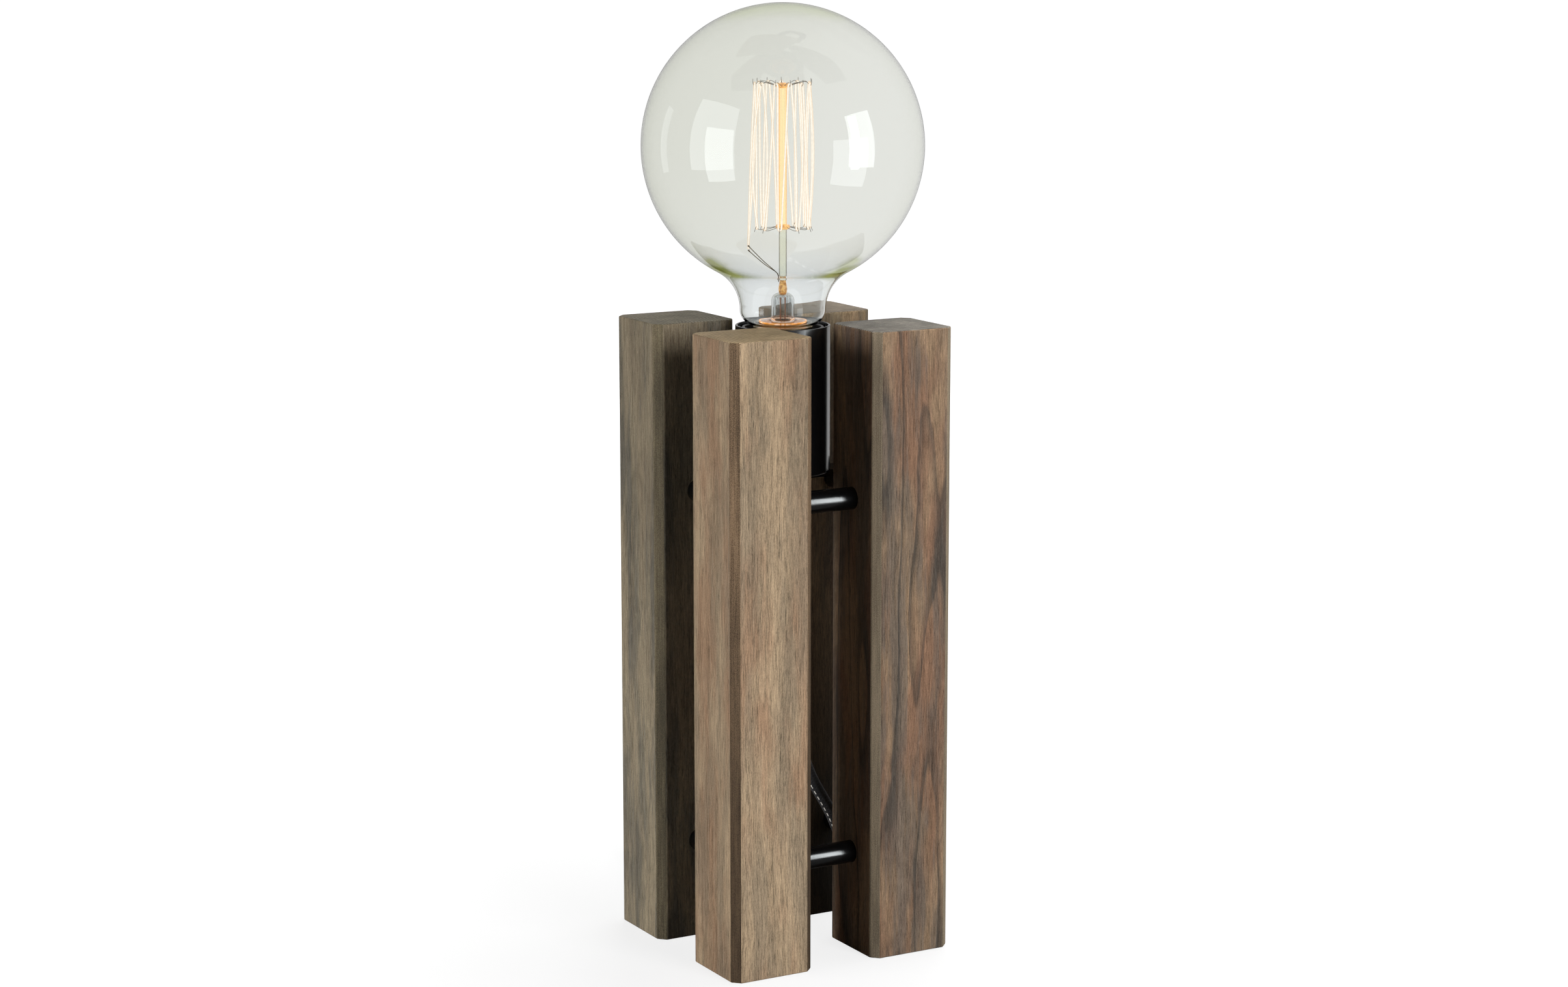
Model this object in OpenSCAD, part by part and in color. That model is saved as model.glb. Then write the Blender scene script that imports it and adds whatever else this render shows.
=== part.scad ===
// Table lamp of four square timber posts, held apart by two rings of round steel rods,
// with a bare globe bulb in a steel cup between the posts.
// Millimetres, +Z up, origin on the table at the lamp's vertical axis.

/* [Posts] */
// Side of each square post
post_w = 40; // [36:1:46]
// Height of the posts
post_h = 280; // [270:1:300]
// Clear gap between neighbouring posts
post_gap = 30; // [27:1:34]
// Flat planed off each long edge
post_chamfer = 3.5; // [1:0.5:5]

/* [Rods] */
// Diameter of the steel rods
rod_d = 10; // [8:0.5:11]
// Depth of the blind hole that a rod goes into
rod_depth = 12; // [8:1:13]
// Height of the lower ring of rods
low_rod_z = 45; // [40:1:80]
// Height of the upper ring of rods
high_rod_z = 205; // [200:1:206]

/* [Cup and holder] */
// Outside diameter of the cup round the bulb holder
cup_d = 42; // [41:0.5:44]
// Height of the cup
cup_h = 65.4; // [65:0.1:67]
// Thickness of the cup's wall
cup_wall = 1; // [0.6:0.1:1.2]
// Thickness of the cross strap under the cup
strap_t = 3; // [2.5:0.5:3]
// Width of the cross strap
strap_w = 14; // [12:1:16]
// Outside diameter of the holder's barrel
barrel_d = 36.8; // [36.4:0.1:37.4]

/* [Bulb] */
// Diameter of the glass globe
globe_d = 124; // [120:1:126]
// Height of the globe's centre
globe_z = 356.8; // [356:0.1:360]
// Diameter of the glass neck
neck_d = 38; // [37:0.5:39]
// Thickness of the glass
glass_t = 0.8; // [0.6:0.1:1]
// Number of hooks that carry the filament at the top
hook_count = 11; // [8:1:12]
// Diameter of the filament
filament_d = 0.4; // [0.3:0.05:0.5]

/* [Cord] */
// Diameter of the textile cord
cord_d = 5.5; // [5:0.1:5.8]
// Turns in the coil of cord, both layers together
coil_turns = 6.25; // [5.25:1:6.25]

/* [Hidden] */
$fn = 96;

eps = 0.01; // a cut runs this far past the face that it opens
fit = 0.05; // radial clearance between a shaft and its hole

// Posts and rods
post_at = (post_w + post_gap) / 2; // each post's axis, from the lamp's axis
rod_len = post_gap + 2 * rod_depth;
strap_z = high_rod_z + rod_d / 2; // the strap lies on the left and right upper rods
cup_z = strap_z + strap_t;
cup_top = cup_z + cup_h;
strap_end_r = strap_w / 2;
strap_half = post_at + 5;
screw_r = 1.95; // strap screws, 4 mm thread
screw_hole_r = 2;
screw_depth = 8;

// Threaded tube through strap, cup and holder, 10 mm thread
nipple_r = 5;
nipple_bore_r = 3.5;
nipple_low = strap_z - 11;
nipple_high = cup_z + 8;
nut_t = 3;
nut_flats = 14;
grip_len = 30;
grip_z = strap_z - nut_t - grip_len; // lower face, where the cord enters
grip_top_r = 8.5;
grip_end_r = 4.2;

// Holder for a 27 mm screw cap
base_r = 17.2;
base_z = cup_z + cup_wall;
base_h = 18;
insulator_z = base_z + base_h;
insulator_h = 8;
insulator_r = 15.3;
shell_in_r = 13.35;
shell_t = 0.5;
shell_top = 274;
barrel_r = barrel_d / 2;
barrel_low = base_z + 10;
barrel_top = cup_top - 0.7;
terminal_x = 8;
terminal_w = 6;
terminal_h = 8;
lead_r = 1.1;

// Bulb: globe and neck joined by a concave arc, closed below by a rounded shoulder
globe_r = globe_d / 2;
neck_r = neck_d / 2;
waist_r = 19; // radius of the concave arc
waist_z = globe_z - sqrt(pow(globe_r + waist_r, 2) - pow(neck_r + waist_r, 2));
shoulder_r = 7;
glass_low = waist_z - shoulder_r;
tube_r = 11.8; // glass inside the cap
cap_r = 13.1;
cap_root_r = 12.25;
cap_top = glass_low - 0.4;
cap_low = cap_top - 22.3;
thread_pitch = 25.4 / 7;
thread_steps = 8; // outline points in each turn of the thread
thread_turns = 4.5;
insulator_gap = 0.1;
tip_top = cap_low - 3.2;
tip_low = tip_top - 1.5;

// Glass stem and filament
stem_r = 5.05;
stem_t = 0.9;
stem_foot_z = glass_low + glass_t;
stem_top = 293;
pinch_top = 299.6;
pinch_r = 1.95;
rod_r = 1.7; // glass rod up the middle
top_button_z = 383;
lower_button_z = 321.5;
wire_r = 0.25;
upper_hook = [[3.9, 0], [8.4, 1.9], [11.3, 1.4], [12.5, 0.3], [13.5, 2.7]]; // out from and up from the button
lower_hook = [[3.4, 0], [7.4, -0.8], [11, -0.9], [12.1, 0.6], [13.2, -1.9]];
notch = 3; // the filament passes the hook at this point
lead_azimuth = 150; // the two lead wires end on this side
lead_reach = 15.2;
lead_tip_z = 312;
first_hook = 6; // degrees from the lead wires to the first upper hook

// Cord, switch, coil and plug. Each free stretch's ring centres are chosen by hand.
cord_r = cord_d / 2;
cord_sides = 8;
coil_sides = 6;
coil_rings = 24; // rings in each loop
cord_lamp_route = [
    [0, 0, 177], [0, 0, 171], [0, 0, 160], [0.2, -0.4, 148], [0.5, -1, 136], [1, -1.8, 124],
    [1.9, -2.6, 112], [3.3, -3.4, 101], [5.6, -4.2, 90], [8.8, -5, 79.5], [12.9, -5.6, 70],
    [17.2, -6, 62.5], [21.5, -6.2, 54.8], [25.3, -6.5, 46], [29.3, -7, 37.3], [34.5, -7.6, 28.5],
    [41, -8, 20], [48.2, -8, 12.6], [55.3, -7.2, 7], [61.8, -4.8, 3.6], [67.4, -0.5, 2.9],
    [71.2, 5, 4.2], [73.1, 11, 5.9], [73.5, 16.5, 6.5], [73.5, 22, 6.5]
];
cord_mid_route = [
    [73.5, 80, 6.5], [73.5, 85.5, 6.5], [73.5, 92, 5.4], [73.5, 98.5, 3.7],
    [73.5, 105, 2.8], [73.5, 110.5, 2.75]
];
cord_plug_route = [
    [25.5, 158.5, 8.75], [20, 158.5, 9.2], [14, 157, 10.8], [8.5, 153.5, 13], [4.5, 148.5, 15.4],
    [2, 143, 17.4], [1, 137, 18.6], [1, 131.5, 18.7]
];
coil_centre = [31, 116];
coil_out_r = 42.5;
coil_step = 6.1; // between neighbouring loops of one layer
layer_step = 6; // between the two layers
coil_low_z = 2.75;

// In-line switch: a box of two shells round the cord's line, with a rocker on top
switch_at = [73.5, 51];
switch_len = 58;
switch_w = 24;
switch_h = 14;
switch_split = 6.5; // height of the joint between the shells, and of the cord's axis
switch_wall = 1.6;
switch_corner = 9;
core_hole_r = 2;
rocker_w = 10;
rocker_half = 9.8;
rocker_pivot_z = 11;
rocker_tilt = 9; // either way from level
rocker_pin_r = 1.2;
rocker_pin_reach = 6.6;
boss_at = [7, 20];
boss_r = 2.8;
cover_screw_r = 1.2;
cover_screw_head_r = 2.4;

// Flat two-pin mains plug, lying on the coil
plug_at = [1, 131.5, 18.7]; // where the cord meets the strain relief
relief_len = 20;
plug_w = 35.3;
plug_t = 13.7;
plug_len = 35;
pin_r = 2;
pin_core_r = 1.5;
pin_sleeve_r = 1.8;
pin_len = 19;
sleeve_len = 10;
pin_root = 8; // length of pin inside the body
pin_spread = 9.3; // half the distance between the pins at the body
pin_lean = 1.6; // degrees that each pin leans towards the other

// Unit vector along v
function unit(v) = v / norm(v);

// Direction of a path at point i, from its neighbours
function heading(path, i) = unit(path[min(i + 1, len(path) - 1)] - path[max(i - 1, 0)]);

// One ring of a tube: points at radius r round path[i], the first one towards `side`
function ring(path, i, r, sides, guide, first) =
    let (
        t = heading(path, i),
        away = is_undef(guide) ? [path[i][0], path[i][1], 0] : guide,
        side = unit(cross(away, t)),
        up = cross(t, side)
    )
    [for (k = [0 : sides - 1])
        let (a = first + 360 * k / sides)
        path[i] + r * (cos(a) * side + sin(a) * up)];

// Closed tube of radius r along a path. `guide` is a direction that the path never runs along,
// by default the one away from the lamp's axis.
module tube_along(path, r, sides, guide, first = 0) {
    rings = len(path);
    points = [for (i = [0 : rings - 1]) each ring(path, i, r, sides, guide, first)];
    walls = [
        for (i = [0 : rings - 2])
        for (k = [0 : sides - 1])
        let (
            a = i * sides + k,
            b = i * sides + (k + 1) % sides,
            c = a + sides,
            d = b + sides
        )
        each [[a, c, b], [b, c, d]]
    ];
    low_cap = [for (k = [1 : sides - 2]) [0, k, k + 1]];
    top = (rings - 1) * sides;
    high_cap = [for (k = [1 : sides - 2]) [top, top + k + 1, top + k]];
    polyhedron(points = points, faces = concat(walls, low_cap, high_cap), convexity = 10);
}

// Solid of revolution between a bore and an outer radius
module sleeve(r_out, r_in, low, high) {
    difference() {
        translate([0, 0, low]) cylinder(r = r_out, h = high - low);
        translate([0, 0, low - 1]) cylinder(r = r_in, h = high - low + 2);
    }
}

// A square post with chamfered long edges, and two blind holes at each rod height.
// sx and sy give the corner of the lamp that it stands at.
module post(sx, sy) {
    h = post_w / 2;
    c = post_chamfer;
    color("#8d7d68")
    difference() {
        translate([sx * post_at, sy * post_at, 0])
            linear_extrude(height = post_h)
            polygon([
                [-h + c, -h], [h - c, -h], [h, -h + c], [h, h - c],
                [h - c, h], [-h + c, h], [-h, h - c], [-h, -h + c]
            ]);
        for (z = [low_rod_z, high_rod_z]) {
            along_x(sy * post_at, z) cylinder(r = rod_d / 2 + fit, h = rod_len, center = true);
            along_y(sx * post_at, z) cylinder(r = rod_d / 2 + fit, h = rod_len, center = true);
        }
    }
}

// Lays a Z cylinder along X at the given y and z
module along_x(y, z) {
    translate([0, y, z]) rotate([0, 90, 0]) children();
}

// Lays a Z cylinder along Y at the given x and z
module along_y(x, z) {
    translate([x, 0, z]) rotate([90, 0, 0]) children();
}

// Steel rod between two posts, on the front or back (side -1 or 1)
module rod_x(side, z) {
    color("#1c1c1e") along_x(side * post_at, z) cylinder(d = rod_d, h = rod_len, center = true);
}

// Steel rod between two posts, on the left or right. An upper one is tapped for the strap's screw.
module rod_y(side, z, tapped) {
    color("#1c1c1e")
    difference() {
        along_y(side * post_at, z) cylinder(d = rod_d, h = rod_len, center = true);
        if (tapped)
            translate([side * post_at, 0, strap_z - screw_depth]) cylinder(r = screw_hole_r, h = rod_d);
    }
}

module cup_strap() {
    color("#1c1c1e")
    difference() {
        translate([0, 0, strap_z]) {
            translate([-(strap_half - strap_end_r), -strap_w / 2, 0])
                cube([2 * (strap_half - strap_end_r), strap_w, strap_t]);
            for (s = [-1, 1])
                translate([s * (strap_half - strap_end_r), 0, 0]) cylinder(r = strap_end_r, h = strap_t);
        }
        translate([0, 0, strap_z - 1]) cylinder(r = nipple_r + 0.1, h = strap_t + 2);
        for (s = [-1, 1])
            translate([s * post_at, 0, strap_z - 1]) cylinder(r = screw_hole_r + 0.15, h = strap_t + 2);
    }
}

// Two pan-head screws that hold the strap to the upper rods
module strap_screws() {
    head_r = 3.6;
    head_h = 2.4;
    color("#2a2a2c")
    for (s = [-1, 1])
        translate([s * post_at, 0, 0])
        difference() {
            union() {
                translate([0, 0, cup_z]) cylinder(r = head_r, h = head_h);
                translate([0, 0, strap_z - screw_depth + 1])
                    cylinder(r = screw_r, h = strap_t + screw_depth - 1);
            }
            translate([-0.5, -head_r, cup_z + 1.2]) cube([1, 2 * head_r, head_h]);
        }
}

// Straight-sided open cup with a rounded lower edge and a hole for the threaded tube
module cup() {
    r = cup_d / 2;
    edge = 1.5;
    color("#1a1a1c")
    difference() {
        translate([0, 0, cup_z])
            rotate_extrude()
            difference() {
                union() {
                    translate([0, edge]) square([r, cup_h - edge]);
                    square([r - edge, edge]);
                    translate([r - edge, edge]) circle(r = edge);
                }
                translate([-2 * r, 0]) square([2 * r, cup_h]);
            }
        translate([0, 0, cup_z + cup_wall]) cylinder(r = r - cup_wall, h = cup_h);
        translate([0, 0, cup_z - 1]) cylinder(r = nipple_r + 0.1, h = cup_wall + 2);
    }
}

// Threaded tube, drawn smooth at its outside diameter
module nipple() {
    color("#b8b4a8") sleeve(nipple_r, nipple_bore_r, nipple_low, nipple_high);
}

module lock_nut() {
    color("#9c9c9c")
    difference() {
        translate([0, 0, strap_z - nut_t]) cylinder(d = nut_flats / cos(30), h = nut_t, $fn = 6);
        translate([0, 0, strap_z - nut_t - 1]) cylinder(r = nipple_r + fit, h = nut_t + 2);
    }
}

// Tapered strain relief, screwed on the lower end of the threaded tube
module cord_grip() {
    collar = 9;
    core_r = 2.6;
    color("#202020")
    translate([0, 0, grip_z])
        rotate_extrude()
        polygon([
            [core_r, 0], [grip_end_r, 0], [grip_end_r + 0.6, 3], [grip_top_r, grip_len - collar],
            [grip_top_r, grip_len], [nipple_r + fit, grip_len], [nipple_r + fit, nipple_low - grip_z],
            [core_r, nipple_low - grip_z]
        ]);
}

// Insulated core from the cord's end, up the threaded tube and out to a terminal
module core_lead(side) {
    tube_along([
        [side * 1.3, 0, grip_z], [side * 1.3, 0, 190], [side * 1.3, 0, 205], [side * 1.3, 0, 216],
        [side * 1.5, 0, 219], [side * 2.9, 0, 221.6], [side * 5.6, 0, 222.8],
        [side * 7.5, 0, 223.8], [side * 8, 0, insulator_z - terminal_h - 0.6],
        [side * 8, 0, insulator_z - terminal_h]
    ], lead_r, 8, [0, 1, 0]);
}

module live_lead() {
    color("#5a3a28") core_lead(-1);
}

module neutral_lead() {
    color("#3a6ea5") core_lead(1);
}

// Dome of the holder, screwed on the threaded tube and open to the terminals
module holder_base() {
    wall = 1.8;
    color("#151515")
    difference() {
        translate([0, 0, base_z]) cylinder(r = base_r, h = base_h);
        translate([0, 0, base_z + 5]) cylinder(r = base_r - wall, h = base_h);
        translate([0, 0, base_z - 1]) cylinder(r = nipple_r + fit, h = base_h);
    }
}

// Insulating block that carries the contacts
module holder_insulator() {
    color("#e8e4da")
    difference() {
        translate([0, 0, insulator_z]) cylinder(r = insulator_r, h = insulator_h);
        translate([insulator_r - 2, -2.3, insulator_z - 1]) cube([3, 4.6, insulator_h + 2]);
    }
}

// Outer sleeve of the holder. It closes round the base below and clears the glass neck above.
module holder_barrel() {
    skirt_r = base_r + fit;
    seat_r = insulator_r + fit;
    mouth_r = 16.8;
    lip = 0.6;
    color("#151515")
    rotate_extrude()
    polygon([
        [skirt_r, barrel_low], [barrel_r, barrel_low], [barrel_r, barrel_top - lip],
        [barrel_r - lip, barrel_top], [mouth_r + 0.3, barrel_top], [mouth_r, barrel_top - 0.3],
        [mouth_r, insulator_z + insulator_h + 6],
        [seat_r, insulator_z + insulator_h + 5], [seat_r, insulator_z], [skirt_r, insulator_z]
    ]);
}

// Screw shell of the holder, drawn smooth at the thread's inner diameter
module holder_thread_shell() {
    low = insulator_z + insulator_h;
    color("#c9c2ae") sleeve(shell_in_r + shell_t, shell_in_r, low, shell_top);
}

// Bent spring strip under the bulb's tip
module holder_centre_contact() {
    low = insulator_z + insulator_h;
    high = tip_low - 0.3;
    t = 0.6;
    color("#c8a24a")
    translate([0, 2.5, 0])
        rotate([90, 0, 0])
        linear_extrude(height = 5)
        polygon([
            [-7, low], [5, low], [7, low + 3], [6, low + 6], [3, high - 0.4], [0, high], [-4, high - 0.8],
            [-4, high - 0.8 - t], [0, high - t], [2.6, high - 0.4 - t], [5.4, low + 5.6], [6.3, low + 3.1],
            [4.7, low + t], [-7, low + t]
        ]);
}

// Strip from the screw shell down to the neutral terminal
module holder_side_contact() {
    x = shell_in_r + shell_t + fit;
    terminal_side = terminal_x + terminal_w / 2;
    color("#c8a24a") {
        translate([x, -2, insulator_z - 4]) cube([0.6, 4, insulator_h + 12]);
        translate([terminal_side, -2, insulator_z - 4]) cube([x - terminal_side + 0.6, 4, 0.6]);
    }
}

// Brass terminal under the insulating block, with a clamping screw's hole from outside
module terminal(side) {
    color("#c8a24a")
    difference() {
        translate([side * terminal_x - terminal_w / 2, -terminal_w / 2, insulator_z - terminal_h])
            cube([terminal_w, terminal_w, terminal_h]);
        translate([side * terminal_x, 0, insulator_z - 5.5])
            rotate([90, 0, 0])
            cylinder(r = 1.3, h = terminal_w);
    }
}

module terminal_screws() {
    color("#b0b0b0")
    for (s = [-1, 1])
        translate([s * terminal_x, 0, insulator_z - 5.5])
        rotate([90, 0, 0]) {
            translate([0, 0, 0.6]) cylinder(r = 1.25, h = terminal_w / 2 - 0.6);
            translate([0, 0, terminal_w / 2]) cylinder(r = 2.2, h = 1.6);
        }
}

// Half outline of the glass, drawn inwards by `inset` for the inner surface
module glass_outline(inset) {
    r = globe_r - inset;
    n = neck_r - inset;
    w = waist_r + inset;
    s = shoulder_r - inset;
    join_r = r * (n + w) / (r + w);
    join_z = globe_z - r * (globe_z - waist_z) / (r + w);
    difference() {
        union() {
            translate([0, globe_z]) circle(r = r);
            difference() {
                polygon([[0, waist_z], [n + eps, waist_z], [join_r, join_z], [0, join_z + eps]]);
                translate([n + w, waist_z]) circle(r = w);
            }
            translate([0, waist_z - s / 2]) square([n, s / 2 + eps]);
            translate([0, waist_z - s]) square([n - s, s + eps]);
            translate([n - s, waist_z]) circle(r = s);
        }
        translate([-2 * globe_r, 0]) square([2 * globe_r, globe_z + 2 * globe_r]);
        translate([n - s - 2 * s, waist_z + eps]) square([2 * s, s + eps]);
        translate([n, waist_z - s]) square([s, s]);
    }
}

module bulb_glass() {
    color("#dfe4df", 0.3)
    rotate_extrude()
    difference() {
        union() {
            glass_outline(0);
            translate([tube_r - glass_t, glass_low - 6]) square([glass_t, 8]);
        }
        difference() {
            glass_outline(glass_t);
            translate([0, glass_low - 1]) square([tube_r, 1 + glass_t]);
        }
        translate([-1, glass_low - 7]) square([tube_r - glass_t + 1, 7 + 2 * glass_t]);
    }
}

// Screw cap. The thread is drawn as rings of the same outline.
module bulb_cap_shell() {
    depth = cap_r - cap_root_r;
    low = cap_low + 1.2;
    steps = thread_turns * thread_steps;
    wave = [
        for (i = [0 : steps])
        [cap_r - depth * (1 + cos(360 * i / thread_steps)) / 2, low + thread_pitch * i / thread_steps]
    ];
    inner_r = cap_root_r - 0.4;
    color("#c4b48c")
    rotate_extrude()
    polygon(concat(
        [[inner_r, cap_low], [cap_root_r, cap_low]],
        wave,
        [[cap_root_r, cap_top - 1.6], [cap_r, cap_top - 0.6], [cap_r, cap_top], [inner_r, cap_top]]
    ));
}

// Black glass between the screw cap and the tip
module bulb_cap_insulator() {
    color("#101010")
    rotate_extrude()
    polygon([
        [0, tip_top + insulator_gap], [5, tip_top + insulator_gap], [6, tip_top + 0.6],
        [cap_root_r - 0.6, cap_low], [cap_root_r - 0.9, cap_low + eps], [0, cap_low + eps]
    ]);
}

module bulb_tip_contact() {
    color("#b9b6ad")
    rotate_extrude()
    polygon([[0, tip_low], [2.2, tip_low + 0.2], [3.8, tip_low + 0.7], [4.7, tip_top], [0, tip_top]]);
}

// Glass tube of the stem, domed above and flared to the neck below
module stem_flare() {
    dome = 3.6;
    foot_r = 10.6;
    flare_h = 2.2;
    inner = stem_r - stem_t;
    color("#dfe4df", 0.4)
    rotate_extrude()
    difference() {
        union() {
            translate([0, stem_foot_z + eps]) square([foot_r, stem_t]);
            translate([0, stem_foot_z + eps]) square([stem_r, stem_top - dome - stem_foot_z]);
            translate([0, stem_top - dome]) square([stem_r - dome, dome]);
            translate([stem_r - dome, stem_top - dome]) circle(r = dome);
            difference() {
                translate([0, stem_foot_z + stem_t]) square([stem_r + flare_h, flare_h]);
                translate([stem_r + flare_h, stem_foot_z + stem_t + flare_h]) circle(r = flare_h);
            }
        }
        translate([-1, stem_foot_z - 1]) square([1 + inner, stem_top - stem_foot_z - 1]);
        translate([-stem_r, 0]) square([stem_r, stem_top + dome]);
    }
}

// Pinched glass above the stem's dome, where the lead wires pass through
module stem_pinch() {
    color("#c98a3a") translate([0, 0, stem_top]) cylinder(r = pinch_r, h = pinch_top - stem_top);
}

module stem_rod() {
    color("#e0d8b8", 0.6) translate([0, 0, pinch_top]) cylinder(r = rod_r, h = top_button_z - 1 - pinch_top);
}

// Glass beads on the rod that hold the two fans of support wires
module lower_button() {
    color("#d2964a")
    difference() {
        translate([0, 0, lower_button_z]) sphere(r = 3.2);
        translate([0, 0, lower_button_z - 5]) cylinder(r = rod_r + fit, h = 10);
    }
}

module top_button() {
    color("#d2964a")
    difference() {
        translate([0, 0, top_button_z]) sphere(r = 3.7);
        translate([0, 0, top_button_z - 5]) cylinder(r = rod_r + fit, h = 4);
    }
}

// Azimuth of a hook. Upper hooks stand at whole steps, and lower ones at half steps between them.
function hook_azimuth(step) = lead_azimuth + first_hook + 360 * step / hook_count;

// Fan of support wires, each bent into a notch near its end
module supports(steps, z, hook) {
    color("#8a8478")
    for (step = steps)
        rotate([0, 0, hook_azimuth(step)])
        tube_along([for (q = hook) [q[0], 0, z + q[1]]], wire_r, 6, [0, 1, 0]);
}

module top_supports() {
    supports([0 : hook_count - 1], top_button_z, upper_hook);
}

module lower_supports() {
    supports([0.5 : hook_count - 1.5], lower_button_z, lower_hook);
}

// Point at radius r, azimuth a and height z
function polar(r, a, z) = [r * cos(a), r * sin(a), z];

// The filament turns over each upper hook and under each lower one. Each turn has five points.
turn_half = 3.4; // degrees of azimuth on each side of a hook
hang = 1.2; // height of the filament over or under the notch of its hook
function turn_round(hook, z, step, way) =
    let (r = hook[notch][0] - 0.08, a = hook_azimuth(step), top = z + hook[notch][1] + way * hang)
    [
        polar(r, a - turn_half, top - way * 1.4), polar(r, a - 0.8 * turn_half, top - way * 0.4),
        polar(r, a, top),
        polar(r, a + 0.8 * turn_half, top - way * 0.4), polar(r, a + turn_half, top - way * 1.4)
    ];
filament_path = concat(
    [polar(lead_reach, lead_azimuth - 5, lead_tip_z + 0.4)],
    [for (i = [0 : hook_count - 1])
        each concat(
            turn_round(upper_hook, top_button_z, i, 1),
            i < hook_count - 1 ? turn_round(lower_hook, lower_button_z, i + 0.5, -1) : []
        )
    ],
    [polar(lead_reach, lead_azimuth + 5, lead_tip_z + 0.4)]
);

module filament() {
    color("#ffb45a") tube_along(filament_path, filament_d / 2, 6, undef);
}

// Two wires from the side of the pinch out to the filament's ends
module lead_wires() {
    color("#8a8478")
    for (s = [-1, 1])
        tube_along([
            polar(pinch_r + 0.3, lead_azimuth + s * 30, pinch_top - 2.5),
            polar(pinch_r + 0.3, lead_azimuth + s * 30, pinch_top - 0.2),
            polar(pinch_r + 1.2, lead_azimuth + s * 20, pinch_top + 1.4),
            polar(lead_reach * 0.55, lead_azimuth + s * 8, pinch_top + 5.5),
            polar(lead_reach - 0.6, lead_azimuth + s * 5, lead_tip_z - 1),
            polar(lead_reach, lead_azimuth + s * 5, lead_tip_z)
        ], wire_r, 6, [0.5, 0.87, 0]);
}

// Two wires from the cap up the stem to the pinch
module stem_lead_wires() {
    color("#b0683a")
    for (s = [-1, 1])
        translate([s * 1.2, 0, cap_low + 2])
            cylinder(r = 0.3, h = stem_top - 2.2 - cap_low - 2, $fn = 24);
}

module cord_lamp_side() {
    color("#141414") tube_along(cord_lamp_route, cord_r, cord_sides, [1, -1, 1]);
}

module cord_to_coil() {
    color("#141414") tube_along(cord_mid_route, cord_r, cord_sides, [0, 0, 1], 22.5);
}

module cord_plug_side() {
    color("#141414") tube_along(cord_plug_route, cord_r, cord_sides, [0, 0, 1], 22.5);
}

// Share of a smooth step from 0 to 1
function eased(u) = u <= 0 ? 0 : u >= 1 ? 1 : u * u * (3 - 2 * u);

// Centre of the cord after t turns. It spirals in on the table, climbs a layer in the half turn
// where it reverses, and spirals out again on top.
function coil_point(t) =
    let (
        half = coil_turns / 2,
        r = coil_out_r - coil_step * min(t, coil_turns - t),
        z = coil_low_z + layer_step * eased(2 * (t - half) + 0.5)
    )
    [coil_centre[0] + r * cos(360 * t), coil_centre[1] + r * sin(360 * t), z];

coil_count = round(coil_turns * coil_rings);
coil_loops = [for (i = [0 : coil_count]) coil_point(i / coil_rings)];
coil_path = concat(
    [coil_loops[0] - [0, cord_d, 0]],
    coil_loops,
    [coil_loops[coil_count] - [cord_d, 0, 0]]
);

// Least distance between loops, surface to surface, over all pairs of ring centres half a loop apart or more
coil_gap = min([
    for (i = [0 : coil_count])
    for (j = [i + coil_rings / 2 : coil_count])
    norm(coil_loops[i] - coil_loops[j])
]) - cord_d;
echo(coil_least_gap_mm = coil_gap);

module cord_coil() {
    color("#141414") tube_along(coil_path, cord_r, coil_sides, [0, 0, 1], 30);
}

// Plan of the switch, with round corners, drawn inwards by `inset`
module switch_plan(inset) {
    r = switch_corner - inset;
    x = switch_w / 2 - switch_corner;
    y = switch_len / 2 - switch_corner;
    square([2 * (x + r), 2 * y], center = true);
    square([2 * x, 2 * (y + r)], center = true);
    for (sx = [-1, 1])
        for (sy = [-1, 1])
            translate([sx * x, sy * y]) circle(r = r);
}

// Places its children at the switch, with its axis along the cord
module at_switch(z) {
    translate([switch_at[0], switch_at[1], z]) children();
}

// Hole for the cord's cores through both end walls
module core_holes() {
    at_switch(switch_split) rotate([90, 0, 0]) cylinder(r = core_hole_r, h = switch_len + 2, center = true);
}

module switch_base() {
    color("#181818")
    difference() {
        at_switch(0) linear_extrude(height = switch_split) switch_plan(0);
        at_switch(switch_wall) linear_extrude(height = switch_split) switch_plan(switch_wall);
        core_holes();
        for (s = [-1, 1])
            at_switch(0) translate([s * boss_at[0], s * boss_at[1], -1]) {
                cylinder(r = cover_screw_r + 0.1, h = switch_split);
                cylinder(r = cover_screw_head_r + 0.1, h = 2);
            }
    }
}

module switch_cover() {
    top_in = switch_h - switch_wall;
    color("#181818")
    difference() {
        union() {
            difference() {
                at_switch(switch_split)
                    linear_extrude(height = switch_h - switch_split)
                    switch_plan(0);
                at_switch(switch_split - 1)
                    linear_extrude(height = top_in - switch_split + 1)
                    switch_plan(switch_wall);
                core_holes();
            }
            for (s = [-1, 1]) {
                at_switch(switch_wall)
                    translate([s * boss_at[0], s * boss_at[1], 0])
                    cylinder(r = boss_r, h = top_in);
                at_switch(rocker_pivot_z)
                    translate([s * 6.9 - 1.1, -2, -2])
                    cube([2.2, 4, top_in - rocker_pivot_z + 2 + eps]);
            }
        }
        at_switch(switch_h - 4) translate([-rocker_w / 2 - 0.5, -rocker_half - 0.8, 0])
            cube([rocker_w + 1, 2 * rocker_half + 1.6, 5]);
        at_switch(rocker_pivot_z)
            rotate([0, 90, 0])
            cylinder(r = rocker_pin_r + fit, h = 2 * rocker_pin_reach + 0.4, center = true);
        for (s = [-1, 1])
            at_switch(0) translate([s * boss_at[0], s * boss_at[1], 0]) cylinder(r = cover_screw_r, h = 9);
    }
}

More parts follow.
